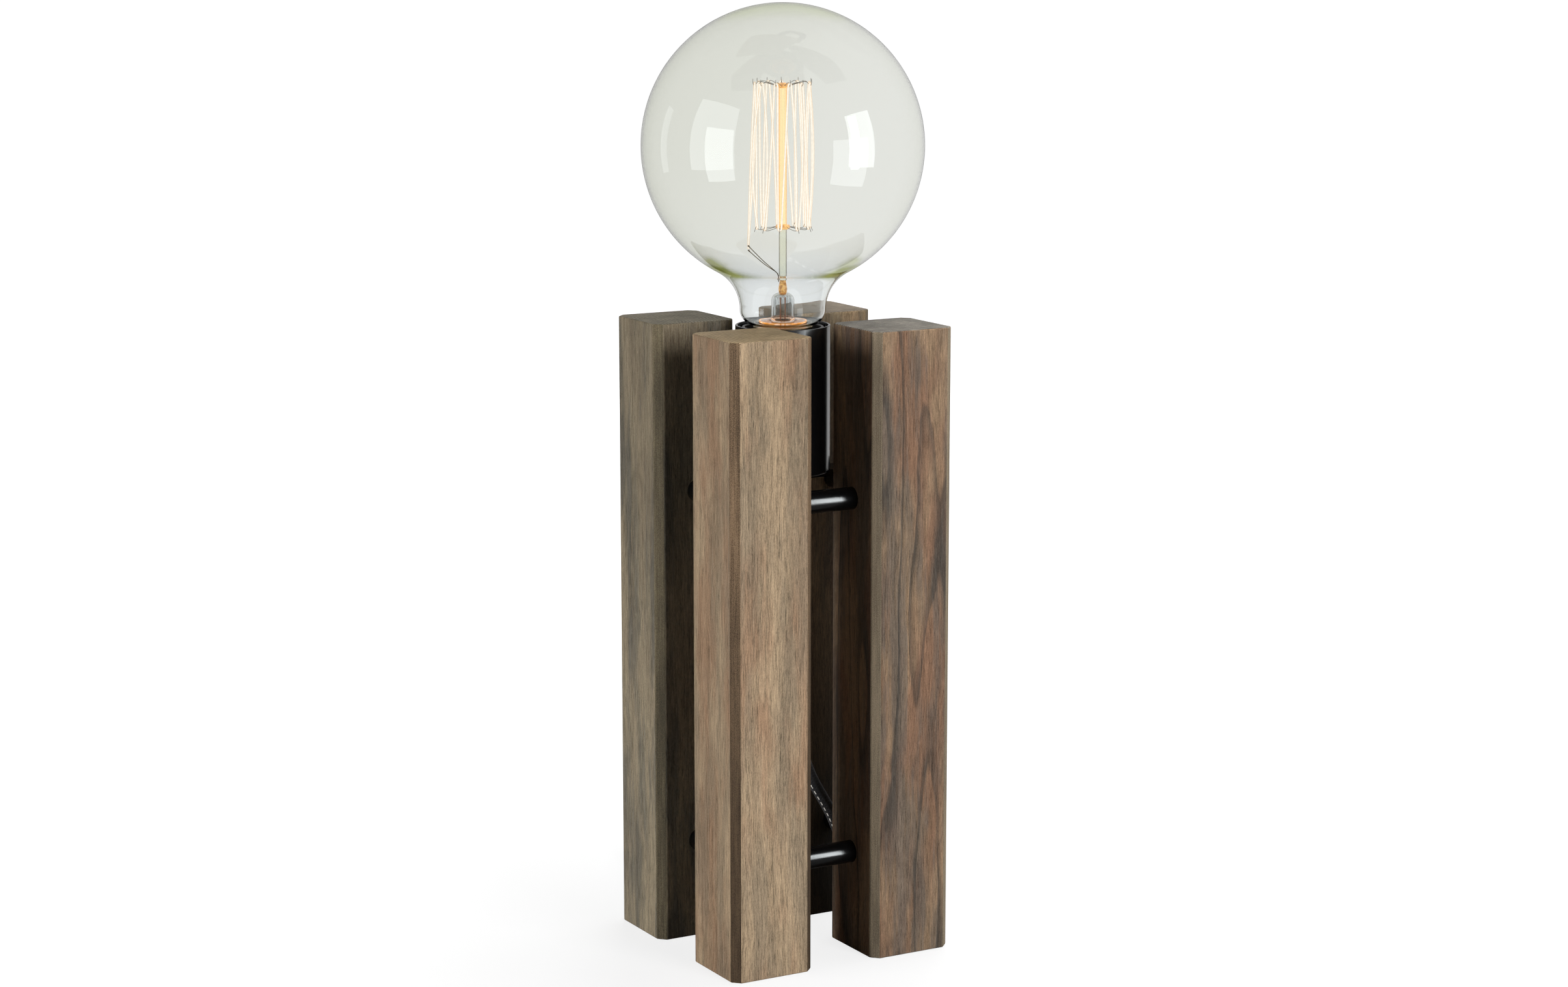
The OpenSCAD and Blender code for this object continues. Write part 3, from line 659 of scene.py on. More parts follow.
@dataclass
class Patch:
    """A grid of points, row by row, with a UV for each point and a material number. Its faces
    point along columns x rows."""

    points: np.ndarray
    uv: np.ndarray | None = None
    tone: int = 0

    def faces(self, start: int) -> np.ndarray:
        """Quads between neighbouring rows and columns.

        Args:
            start: index of the grid's first point in the whole mesh.

        Returns:
            One row of four indices for each quad.
        """
        rows, columns = self.points.shape[:2]
        index = start + np.arange(rows * columns).reshape(rows, columns)
        corners = (index[:-1, :-1], index[:-1, 1:], index[1:, 1:], index[1:, :-1])
        return np.stack(corners, -1).reshape(-1, 4)

    def moved(self, matrix: Matrix) -> "Patch":
        """The patch after a rigid move."""
        return Patch(carried(self.points, matrix), self.uv, self.tone)


def spun(radius: np.ndarray, height: np.ndarray, angle: np.ndarray) -> np.ndarray:
    """Points (r cos a, r sin a, z) from a radius, a height and an angle in radians."""
    flat = radius * np.cos(angle), radius * np.sin(angle)
    return np.stack(np.broadcast_arrays(*flat, height), -1)


def turned(profile: np.ndarray, around: int = 96) -> Patch:
    """Surface of revolution about Z: each profile point (r, z) goes to (r cos a, r sin a, z).

    Args:
        profile: rows of (radius, height). It runs upwards where the surface faces outwards.
        around: number of steps round the axis.

    Returns:
        The surface, open along its first and last rows.
    """
    return Patch(spun(profile[:, :1], profile[:, 1:2], np.linspace(0, TAU, around + 1)))


def threaded(low: float, high: float, root: float, crest: float, run: float) -> Patch:
    """Round thread: radius = root + (crest - root) * (1 + cos(2 pi (z / pitch - a / 2 pi))) / 2,
    with THREAD_PITCH as its pitch, faded to the root over `run` at both ends.

    Args:
        low: lower end.
        high: upper end.
        root: radius between the threads.
        crest: radius on them.
        run: length of the fade at each end.

    Returns:
        The surface, facing outwards and open at both ends.
    """
    angle = np.linspace(0, TAU, 97)
    height = np.linspace(low, high, int((high - low) / THREAD_PITCH * 20))[:, None]
    fade = np.clip((height - low) / run, 0, 1) * np.clip((high - height) / run, 0, 1)
    wave = 0.5 + 0.5 * np.cos(TAU * (height / THREAD_PITCH - angle / TAU))
    return Patch(spun(root + (crest - root) * wave * fade, height, angle))


def rounded(outline: np.ndarray, radius: float, steps: int = 3) -> np.ndarray:
    """Rounds the corners of a profile. Each corner gives way to a quadratic arc that starts and
    ends `radius` from it, or half the side's length where that is less.

    Args:
        outline: rows of (radius, height), an open line.
        radius: distance from a corner at which its arc starts.
        steps: points in each arc, less one.

    Returns:
        The rounded line.
    """
    corner = outline[1:-1, None]
    sides = np.stack((outline[:-2], outline[2:]))[:, :, None] - corner
    length = np.linalg.norm(sides, axis=-1, keepdims=True)
    start, end = corner + sides / length * np.minimum(radius, length / 2)
    t = np.linspace(0, 1, steps + 1)[:, None]
    arcs = (1 - t) ** 2 * start + 2 * t * (1 - t) * corner + t**2 * end
    return np.vstack((outline[:1], arcs.reshape(-1, 2), outline[-1:]))


def arc(
    centre: Sequence[float], radius: float, start: float, end: float, steps: int
) -> np.ndarray:
    """Points on a circle: centre + radius * (cos a, sin a).

    Args:
        centre: (r, z) of the circle.
        radius: its radius.
        start: first angle in degrees.
        end: last angle in degrees.
        steps: number of steps.

    Returns:
        Rows of (r, z).
    """
    angle = np.radians(np.linspace(start, end, steps + 1))
    return np.stack((centre[0] + radius * np.cos(angle), centre[1] + radius * np.sin(angle)), -1)


def ribbed(
    low: float, high: float, radius: np.ndarray, depth: float, pitch: float
) -> np.ndarray:
    """Profile of a ribbed sleeve: radius - depth * ((1 + cos(2 pi (z - low) / pitch)) / 2) ** 3.

    Args:
        low: lower end.
        high: upper end.
        radius: its outer radius at even steps from the lower end to the upper one.
        depth: depth of the grooves.
        pitch: distance from rib to rib.

    Returns:
        Rows of (r, z).
    """
    z = np.linspace(low, high, len(radius))
    return np.column_stack((radius - depth * (0.5 + 0.5 * np.cos(TAU * (z - low) / pitch)) ** 3, z))


def distance_along(line: np.ndarray) -> np.ndarray:
    """How far along the line each of its points lies."""
    return np.concatenate(([0], np.cumsum(np.linalg.norm(np.diff(line, axis=0), axis=1))))


def length_of(line: np.ndarray) -> float:
    """Length of a line through rows of points."""
    return float(distance_along(line)[-1])


def evenly(line: np.ndarray, spacing: float) -> np.ndarray:
    """The same line, read at even steps.

    Args:
        line: rows of points.
        spacing: about how long a step is.

    Returns:
        Rows of points.
    """
    far = distance_along(line)
    wanted = np.linspace(0, far[-1], max(2, int(round(far[-1] / spacing)) + 1))
    return np.stack([np.interp(wanted, far, line[:, k]) for k in range(3)], -1)


def smooth_path(route: np.ndarray, spacing: float) -> np.ndarray:
    """Curve through every route point (Catmull-Rom: each span is a cubic whose end slopes are half
    the chord between the points on either side), read at even steps.

    Args:
        route: rows of points.
        spacing: distance between the points of the result.

    Returns:
        Rows of points.
    """
    ends = np.vstack((2 * route[0] - route[1], route, 2 * route[-1] - route[-2]))
    t = np.linspace(0, 1, 24, endpoint=False)[:, None]
    spans = []
    for a, b, c, d in zip(ends[:-3], ends[1:-2], ends[2:-1], ends[3:]):
        square, cube = 2 * a - 5 * b + 4 * c - d, 3 * b - a - 3 * c + d
        spans.append(0.5 * (2 * b + (c - a) * t + square * t**2 + cube * t**3))
    return evenly(np.vstack(spans + [route[-1:]]), spacing)


def tube(
    path: np.ndarray, radius: float | np.ndarray, sides: int, first: Sequence[float]
) -> Patch:
    """Round tube along a path. Each ring lies square to the path: point = centre + radius * (cos a
    * side + sin a * up), where `side` is carried along the path without twist. The ends close to a
    point.

    Args:
        path: rows of points.
        radius: one radius, or one for each point.
        sides: steps round the tube.
        first: direction that `side` starts from.

    Returns:
        The surface, with U the length along it and V once round it.
    """
    heading = np.gradient(path, axis=0)
    heading /= np.linalg.norm(heading, axis=1)[:, None]
    side = np.empty_like(path)
    last = np.asarray(first, float)
    for i, t in enumerate(heading):
        last = last - t * (last @ t)
        last = last / np.linalg.norm(last)
        side[i] = last
    up = np.cross(heading, side)
    angle = np.linspace(0, TAU, sides + 1)
    ring = np.cos(angle)[:, None] * side[:, None] + np.sin(angle)[:, None] * up[:, None]
    radius = np.broadcast_to(np.asarray(radius, float), len(path))[:, None, None]
    points = path[:, None] + radius * ring
    closed = [path[end, None, None] + 0 * points[:1] for end in (0, -1)]
    far = distance_along(path)
    far = np.concatenate((far[:1], far, far[-1:]))[:, None]
    uv = np.stack(np.broadcast_arrays(far, angle / TAU), -1)
    return Patch(np.concatenate((closed[0], points, closed[1])), uv)


def lofted(rings: Sequence[Sequence[float]]) -> Patch:
    """Skin over rectangles with round corners, one above the other. Each has a quarter circle at
    each corner, centre + radius * (cos a, sin a), and straight sides between them.

    Args:
        rings: (half width, half length, corner radius, height) of each, upwards where the skin
            faces out.

    Returns:
        The surface, open at both ends unless a ring there has no size.
    """
    rows = []
    for half_x, half_y, corner, height in rings:
        quarters = [
            arc((sx * (half_x - corner), sy * (half_y - corner)), corner, start, start + 90, 12)
            for sx, sy, start in ((1, 1, 0), (-1, 1, 90), (-1, -1, 180), (1, -1, 270))
        ]
        flat = np.vstack(quarters + [quarters[0][:1]])
        rows.append(np.column_stack((flat, np.full(len(flat), height))))
    return Patch(np.array(rows))


# ---- Objects ---------------------------------


def placed(name: str, data: bpy.types.ID) -> bpy.types.Object:
    """Puts new data into the scene.

    Args:
        name: the object's name.
        data: its mesh, light or camera.

    Returns:
        The object.
    """
    made = bpy.data.objects.new(name, data)
    bpy.context.scene.collection.objects.link(made)
    return made


@dataclass
class Piece:
    """One named piece of the lamp on its way to becoming an object: its slot, its finishes, the
    solids that it replaces, its patches, its body, and how its edges are shaded and bevelled."""

    name: str
    slot: str
    coats: Sequence[Coat]
    nodes: Sequence[str]
    patches: list[Patch] = field(default_factory=list)
    body: str = LAMP
    sharp: float = 35.0
    bevel: float = 0.0
    polygons: list[tuple[np.ndarray, int]] = field(default_factory=list)

    def prism(self, low: np.ndarray, high: np.ndarray, sides: int, ends: int) -> None:
        """Adds a prism: a strip between each two neighbours of both outlines, and both ends.

        Args:
            low: outline of one end, anticlockwise seen from the other.
            high: outline of the other end.
            sides: how many material numbers its strips take by turns.
            ends: material number of its ends.
        """
        for i in range(len(low)):
            j = (i + 1) % len(low)
            strip = np.array([[low[i], low[j]], [high[i], high[j]]])
            self.patches.append(Patch(strip, None, i % sides))
        self.polygons.extend([(high, ends), (low[::-1], ends)])

    def _mesh(self) -> bpy.types.Mesh:
        """Joins patches and polygons, and welds seams and poles.

        Returns:
            The mesh.
        """
        points, faces, uvs, tones = [], [], [], []
        count = 0
        for patch in self.patches:
            flat, quads = patch.points.reshape(-1, 3), patch.faces(count)
            uv = np.zeros((len(flat), 2)) if patch.uv is None else patch.uv.reshape(-1, 2)
            points.append(flat)
            faces.extend(quads.tolist())
            uvs.append(uv[quads - count].reshape(-1, 2))
            tones.extend([patch.tone] * len(quads))
            count += len(flat)
        for outline, tone in self.polygons:
            points.append(outline)
            faces.append(list(range(count, count + len(outline))))
            uvs.append(np.zeros((len(outline), 2)))
            tones.append(tone)
            count += len(outline)
        mesh = bpy.data.meshes.new(self.name)
        mesh.from_pydata(np.vstack(points).tolist(), [], faces)
        layer = mesh.uv_layers.new(name=UV_MAP)
        layer.data.foreach_set("uv", np.vstack(uvs).astype(np.float32).ravel())
        mesh.polygons.foreach_set("material_index", np.array(tones, np.int32))
        work = bmesh.new()
        work.from_mesh(mesh)
        bmesh.ops.remove_doubles(work, verts=work.verts, dist=2e-7)
        bmesh.ops.dissolve_degenerate(work, edges=work.edges, dist=1e-8)
        work.to_mesh(mesh)
        work.free()
        return mesh

    def make(self) -> bpy.types.Object:
        """Makes and dresses the object.

        Returns:
            The finished object, riding on its body.
        """
        mesh = self._mesh()
        mesh.polygons.foreach_set("use_smooth", np.ones(len(mesh.polygons), bool))
        mesh.set_sharp_from_angle(angle=math.radians(self.sharp))
        for name, finish in self.coats:
            mesh.materials.append(finish.material(name))
        made = placed(self.name, mesh)
        if self.bevel:
            edge = made.modifiers.new("edge", "BEVEL")
            edge.width, edge.segments = self.bevel, 3
            edge.limit_method, edge.angle_limit = "ANGLE", math.radians(30)
        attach(made, self.body)
        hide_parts(*self.nodes)
        LOG.info("%s: %d faces, for %s", self.name, len(mesh.polygons), ", ".join(self.nodes))
        return made


def keep(coat: Coat, *nodes: str) -> list[bpy.types.Object]:
    """Gives solids that stay as they are their finish.

    Args:
        coat: the finish with its name.
        nodes: the solids' names.

    Returns:
        The solids.
    """
    solids = [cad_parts[node] for node in nodes]
    for solid in solids:
        solid.data.materials.clear()
        solid.data.materials.append(coat[1].material(coat[0]))
        LOG.info("%s: kept solid, finish %s", solid.name, coat[0])
    return solids


# ---- The lamp --------------------------------


class Corner(Enum):
    """A corner of the lamp: name, and which way it lies along X and Y."""

    FRONT_LEFT = ("front_left", -1, -1)
    FRONT_RIGHT = ("front_right", 1, -1)
    BACK_LEFT = ("back_left", -1, 1)
    BACK_RIGHT = ("back_right", 1, 1)


# Some posts get painted light and shade, lighter or darker towards the foot or the head.
TIMBERS: dict[Corner, tuple[Finish, Finish, Finish]] = {
    Corner.FRONT_LEFT: (
        StainedTimber(
            (0.39, 0.285, 0.18), (0.30, 0.185, 0.112), (0.215, 0.168, 0.115), 2.0,
            warm_share=0.85, grey_share=0.65, painted_head_light=0.90,
        ),
        ChamferedTimber((0.27, 0.175, 0.10), (0.055, 0.035, 0.02), 3.0, 0.35),
        EndGrain((0.60, 0.45, 0.265), (0.32, 0.235, 0.135), (0.01, -0.16), 0.0017, 4.0),
    ),
    Corner.FRONT_RIGHT: (
        StainedTimber(
            (0.27, 0.18, 0.11), (0.20, 0.11, 0.068), (0.10, 0.085, 0.07), 5.0,
            warm_share=0.85, grey_share=0.75, line_share=0.85, lines=6.5,
            waves=(((9, 9, 5), 0.009, 0), *StainedTimber.waves[1:]),
        ),
        ChamferedTimber((0.29, 0.23, 0.155), (0.12, 0.095, 0.065), 6.0),
        EndGrain((0.32, 0.295, 0.25), (0.055, 0.048, 0.04), (0.05, 0.12), 0.0018, 7.0),
    ),
    Corner.BACK_LEFT: (
        StainedTimber(
            (0.28, 0.23, 0.155), (0.20, 0.155, 0.105), (0.115, 0.105, 0.085), 9.0,
            warm_share=0.5, grey_share=0.85, painted_foot_light=1.14, painted_head_light=0.78,
        ),
        ChamferedTimber((0.23, 0.185, 0.11), (0.07, 0.058, 0.038), 10.0),
        EndGrain((0.28, 0.245, 0.18), (0.12, 0.105, 0.075), (-0.20, 0.02), 0.0015, 11.0),
    ),
    Corner.BACK_RIGHT: (
        StainedTimber(
            (0.27, 0.195, 0.115), (0.17, 0.105, 0.06), (0.07, 0.062, 0.045), 13.0,
            painted_foot_light=0.20, painted_head_light=1.1,
        ),
        ChamferedTimber((0.16, 0.12, 0.075), (0.05, 0.042, 0.028), 14.0),
        EndGrain((0.27, 0.22, 0.16), (0.11, 0.09, 0.07), (0.18, 0.11), 0.0016, 15.0),
    ),
}
BLACK_STEEL = ("satin_black", SatinPaint())
BLACK_PLASTIC = ("black_moulding", Moulding())
BLACK_NYLON = ("black_nylon", Moulding(rough=0.55, grain=1500.0))
HOLDER_BLACK = ("holder_black", Moulding(rough=0.22))
ROCKER_BLACK = ("rocker_black", Moulding((0.02, 0.02, 0.021), 0.3))
BLACK_GLASS = ("black_glass", Moulding((0.006, 0.006, 0.007), 0.08, 500.0, 0.00002))
WHITE_BLOCK = ("white_block", Moulding((0.74, 0.72, 0.66), 0.12, 700.0, 0.00002))
BROWN_SLEEVE = ("brown_sleeve", Moulding((0.16, 0.06, 0.03), 0.35))
BLUE_SLEEVE = ("blue_sleeve", Moulding((0.03, 0.13, 0.38), 0.35))
BRASS = ("brass_plate", Metal((0.75, 0.55, 0.28), (0.42, 0.27, 0.12), 0.25))
CAP_BRASS = ("cap_brass", Metal((0.70, 0.56, 0.34), (0.45, 0.32, 0.16), 0.22))
ZINC = ("zinc_plate", Metal((0.62, 0.62, 0.60), (0.40, 0.39, 0.36), 0.32))
NICKEL = ("nickel_plate", Metal((0.72, 0.71, 0.68), (0.52, 0.50, 0.46), 0.14))
SOLDER = ("solder", Metal((0.60, 0.60, 0.58), (0.38, 0.37, 0.34), 0.4))
COPPER = ("copper_wire", Metal((0.75, 0.33, 0.18), (0.40, 0.14, 0.07), 0.3))
SUPPORT_WIRE = ("support_wire", Metal((0.30, 0.27, 0.24), (0.13, 0.11, 0.09), 0.45))
LEAD_WIRE = ("lead_wire", Metal((0.22, 0.19, 0.14), (0.10, 0.08, 0.05), 0.4))
FILAMENT_WIRE = ("hot_wire", HotWire())
FUSED_BEAD = ("fused_bead", AmberBead(0.35, 900.0))
AMBER = ("amber_bead", AmberBead(0.6, 500.0))
BRAIDED_CORD = ("braided_cord", Braid())
# painted reflection across the globe: darker on one side, lighter on the other
CLEAR_GLASS = ("clear_glass", BlownGlass(
    painted_light_sweep=((0.974, 0.976, 0.960), (1.02, 1.02, 1.024)), top_at=0.413, waist=1.0,
))


@dataclass
class Posts:
    """The four timber posts."""

    width: float = 0.040
    height: float = 0.280
    reach: float = 0.035
    chamfer: float = 0.0035
    edge: float = 0.0007

    def build(self) -> None:
        """Makes each post as an eight-sided prism: four faces, and narrow chamfers between them."""
        half, cut = self.width / 2, self.width / 2 - self.chamfer
        outline = np.array([
            [-cut, -half], [cut, -half], [half, -cut], [half, cut],
            [cut, half], [-cut, half], [-half, cut], [-half, -cut],
        ])
        for corner, finishes in TIMBERS.items():
            name, sx, sy = corner.value
            coats = zip((f"timber_{name}", f"chamfer_{name}", f"end_grain_{name}"), finishes)
            piece = Piece(f"{name}_post", "wood", list(coats), [f"post_{name}"], bevel=self.edge)
            spot = outline + np.array([sx, sy]) * self.reach
            ends = [np.column_stack((spot, np.full(8, z))) for z in (0.0, self.height)]
            piece.prism(*ends, 2, 2)
            piece.make()


@dataclass
class Rods:
    """Two rings of four round rods."""

    radius: float = 0.005
    length: float = 0.054
    chamfer: float = 0.0004
    reach: float = 0.035
    levels: tuple = (("low", 0.045), ("high", 0.205))
    sides: tuple = (("front", 0, -1), ("back", 0, 1), ("left", -1, 0), ("right", 1, 0))

    def build(self) -> None:
        """Makes each rod as a turned bar with small chamfers at its ends."""
        half, r, cut = self.length / 2, self.radius, self.chamfer
        bar = np.array([
            [0, -half], [r - cut, -half], [r, -half + cut],
            [r, half - cut], [r - cut, half], [0, half],
        ])
        upright = turned(rounded(bar, 0.0003, 2), 64)
        for ring, height in self.levels:
            for side, x, y in self.sides:
                turn = (math.pi / 2, 4, "Y") if y else (-math.pi / 2, 4, "X")
                place = Matrix.Translation((x * self.reach, y * self.reach, height))
                bars = [upright.moved(place @ Matrix.Rotation(*turn))]
                node = f"{ring}_rod_{side}"
                Piece(f"{node}_bar", "black_steel", [BLACK_STEEL], [node], bars).make()


@dataclass
class Cup:
    """Cup, strap, threaded tube and cord grip."""

    radius: float = 0.021
    wall: float = 0.001
    low: float = 0.213
    height: float = 0.0654
    hole: float = 0.0051
    bend: float = 0.0015
    lip: float = 0.00025
    grip_low: float = 0.177
    grip_collar: float = 0.198
    grip_high: float = 0.207

    def build(self) -> None:
        """Turns the cup and the grip, and dresses the solids that stay."""
        self._cup()
        self._grip()
        keep(BLACK_STEEL, "cup_strap", "strap_screws")
        keep(ZINC, "nipple", "lock_nut")
        keep(BROWN_SLEEVE, "live_lead")
        keep(BLUE_SLEEVE, "neutral_lead")

    def _cup(self) -> None:
        """Cup profile: up the outside, over the rim, down the inside and in to the hole."""
        low, top, floor = self.low, self.low + self.height, self.low + self.wall
        r, inner = self.radius, self.radius - self.wall
        profile = np.vstack((
            [[self.hole, low]],
            arc((r - self.bend, low + self.bend), self.bend, -90, 0, 8),
            arc((r - self.lip, top - self.lip), self.lip, 0, 90, 4),
            arc((inner + self.lip, top - self.lip), self.lip, 90, 180, 4),
            [[inner, floor + 0.001], [inner - 0.001, floor], [self.hole, floor], [self.hole, low]],
        ))
        Piece("steel_cup", "black_steel", [BLACK_STEEL], ["cup"], [turned(profile, 128)]).make()

    def _grip(self) -> None:
        """Grip: a collar over a ribbed taper, and the passage through the collar."""
        low, collar, high = self.grip_low, self.grip_collar, self.grip_high
        end = collar - 0.0006
        share = (np.linspace(low, end, 120) - low) / (collar - low)
        profile = np.vstack((
            [[0.0026, low]], ribbed(low, end, 0.0044 + 0.0040 * share**1.1, 0.00045, 0.003),
            [[0.0085, collar], [0.0085, high - 0.0004], [0.0081, high], [0.0050, high]],
        ))
        bore = np.array([[0.0050, high], [0.0026, low]])
        skins = [turned(profile, 72), turned(bore, 72)]
        Piece("cord_grip_ribbed", "black_nylon", [BLACK_NYLON], ["cord_grip"], skins).make()


@dataclass
class Holder:
    """Screw-cap bulb holder inside the cup."""

    shell_low: float = 0.2402
    shell_top: float = 0.274
    root: float = 0.01335
    crest: float = 0.01250
    wall: float = 0.0005
    barrel_mm: tuple = (
        (17.25, 224), (18.4, 224), (18.4, 277.1), (17.8, 277.7), (17.1, 277.7), (16.8, 277.4),
        (16.8, 246), (15.35, 245), (15.35, 232), (17.25, 232), (17.25, 224),
    )
    base_mm: tuple = (
        (5.05, 214), (16.4, 214), (17.2, 215), (17.2, 232), (15.4, 232), (15.4, 219), (5.05, 219),
        (5.05, 214),
    )

    def build(self) -> None:
        """Turns barrel and base, makes the threaded shell and dresses the small parts."""
        barrel = turned(rounded(mm(self.barrel_mm), 0.00025), 128)
        base = turned(rounded(mm(self.base_mm), 0.0005), 96)
        for name, coat, node, skin in (
            ("holder_barrel_turned", HOLDER_BLACK, "holder_barrel", barrel),
            ("holder_base_turned", BLACK_PLASTIC, "holder_base", base),
        ):
            Piece(name, "black_plastic", [coat], [node], [skin]).make()
        ends = (self.shell_low, self.shell_top)
        inner, outer = (
            threaded(*ends, self.root + wall, self.crest + wall, 0.002).points
            for wall in (0.0, self.wall)
        )
        rim, foot = np.stack((outer[-1], inner[-1])), np.stack((inner[0], outer[0]))
        skins = [Patch(points) for points in (inner[::-1], outer, rim, foot)]
        Piece(
            "holder_shell_threaded", "brass", [BRASS], ["holder_thread_shell"], skins, sharp=50
        ).make()
        keep(WHITE_BLOCK, "holder_insulator")
        keep(BRASS, "holder_centre_contact", "holder_side_contact", "live_terminal",
             "neutral_terminal")
        keep(ZINC, "terminal_screws")


@dataclass
class Bulb:
    """Clear globe bulb with its screw cap, stem and cage filament. A hook is a list of (out, up),
    in millimetres from the middle of its bead."""

    globe: float = 0.062
    middle: float = 0.3568
    neck: float = 0.019
    waist: float = 0.019
    shoulder: float = 0.007
    glass: float = 0.0008
    tube: float = 0.0118
    tube_length: float = 0.006
    cap_low: float = 0.25557
    cap_high: float = 0.27787
    cap_root: float = 0.01225
    cap_crest: float = 0.0131
    cap_bore: float = 0.01185
    stem_foot: float = 0.27908
    stem_radius: float = 0.00505
    stem_wall: float = 0.0009
    flare: float = 0.0106
    flare_bend: float = 0.0022
    dome_bend: float = 0.0036
    dome_top: float = 0.293
    rod_foot: float = 0.2996
    rod: float = 0.0017
    bead: float = 0.0033
    bead_half: float = 0.0011
    upper_button: float = 0.383
    lower_button: float = 0.3215
    hooks: int = 11
    leads_at: float = 150.0
    first_hook: float = 6.0
    scatter: float = 6.0
    scatter_turn: float = 7.3
    upper_hook_mm: tuple = (
        (3.35, 0), (6.6, 1.0), (10.4, 1.75), (12.4, 0.2), (13.05, 1.2), (13.1, 2.9),
    )
    lower_hook_mm: tuple = ((3.35, 0), (7.4, -0.8), (11.0, -0.9), (12.1, 0.6), (13.2, -1.9))
    notch: int = 3
    wire: float = 0.00012
    filament: float = 0.00054
    loop_half: float = 3.4
    loop_rise: float = 0.0012
    lead_reach: float = 0.0152
    lead_tip: float = 0.3138
    lead_drop: float = 0.0022

    def build(self) -> None:
        """Makes the envelope, the cap, the stem and what the stem carries."""
        self._envelope()
        self._cap()
        self._stem()
        upper, lower = self.upper_button, self.lower_button
        self._fan("upper_supports", "top_supports", self.upper_hook_mm, upper, 0.0)
        self._fan("lower_supports_fan", "lower_supports", self.lower_hook_mm, lower, 0.5)
        self._filament()
        self._leads()

    def _outline(self, inset: float) -> np.ndarray:
        """Half outline of the glass: shoulder arc, concave waist arc and globe, each tangent to the
        next.

        Args:
            inset: how far inside the outer surface it lies.

        Returns:
            Rows of (r, z) from the shoulder up to the top.
        """
        out = self.neck + self.waist
        low = self.middle - math.sqrt((self.globe + self.waist) ** 2 - out**2)
        away = math.degrees(math.atan2(low - self.middle, out))
        return np.vstack((
            arc((self.neck - self.shoulder, low), self.shoulder - inset, -90, 0, 14),
            arc((out, low), self.waist + inset, 180, 180 + away, 26)[1:],
            arc((0, self.middle), self.globe - inset, away, 90, 110)[1:],
        ))

    def _envelope(self) -> None:
        """Glass wall: up the outer outline to the top, and down the inner one to the rim in the
        cap."""
        outer, inner = self._outline(0.0), self._outline(self.glass)
        foot, bore, wall = outer[0, 1], self.tube - self.glass, self.glass
        end = foot - self.tube_length
        outside = np.vstack(([[bore, end], [self.tube, end], [self.tube, foot - 0.0006]], outer))
        inside = np.vstack((
            inner[::-1], [[bore + wall / 2, foot + wall], [bore, foot + wall / 2], [bore, end]],
        ))
        skins = [turned(outside, 192), turned(inside, 192)]
        Piece("globe_glass", "clear_glass", [CLEAR_GLASS], ["bulb_glass"], skins, BULB, 80).make()

    def _cap(self) -> None:
        """Screw cap with its rolled thread, glass insulator and soldered tip."""
        low, high, root, crest = self.cap_low, self.cap_high, self.cap_root, self.cap_crest
        collar = np.array([
            [root, high - 0.0016], [crest, high - 0.0007], [crest, high], [self.cap_bore, high],
            [self.cap_bore, low], [root, low],
        ])
        skins = [threaded(low, high - 0.0016, root, crest, 0.0014), turned(collar)]
        Piece(
            "screw_cap_threaded", "brass", [CAP_BRASS], ["bulb_cap_shell"], skins, BULB, 50
        ).make()
        keep(BLACK_GLASS, "bulb_cap_insulator")
        keep(SOLDER, "bulb_tip_contact")

    def _stem(self) -> None:
        """Stem: flared foot, tube with a dome, pinch, rod and two flat beads."""
        foot, r, t, flare = self.stem_foot, self.stem_radius, self.stem_wall, self.flare
        bend, top = self.dome_bend, self.dome_top
        dome = (r - bend, top - bend)
        turn = (r + self.flare_bend, foot + t + self.flare_bend)
        outer = np.vstack((
            [[flare, foot], [flare, foot + t]], arc(turn, self.flare_bend, 270, 180, 8),
            arc(dome, bend, 0, 90, 10), [[0, top]],
        ))
        inner = np.vstack((
            [[0, top - t]], arc(dome, bend - t, 90, 0, 10), [[r - t, foot], [flare, foot]],
        ))
        # painted filament light at the stem's flared foot, given as emission
        stem_glass = BlownGlass(
            edge_tint=(0.30, 0.24, 0.17), edge=(0.5, 1.0), streaks=0.45, painted_filament_light=(0.42, 0.16, 0.02),
            painted_filament_light_rim=(0.10, 0.035, 0.005), painted_light_out=0.0099, painted_light_from=0.2785,
            painted_light_to=foot + t + 0.0003,
        )
        z = np.linspace(top, self.rod_foot, 30)
        lumps = 0.0018 + 0.00015 * np.sin((z - top) / 0.0011)
        lumps = lumps - 0.0004 * ((z - top) / (self.rod_foot - top)) ** 4
        pinch = np.vstack(([[0, z[0]]], np.column_stack((lumps, z)), [[0, z[-1]]]))
        end = self.upper_button - 0.001
        rod = np.array([[0, z[-1]], [self.rod, z[-1]], [self.rod, end], [0, end]])
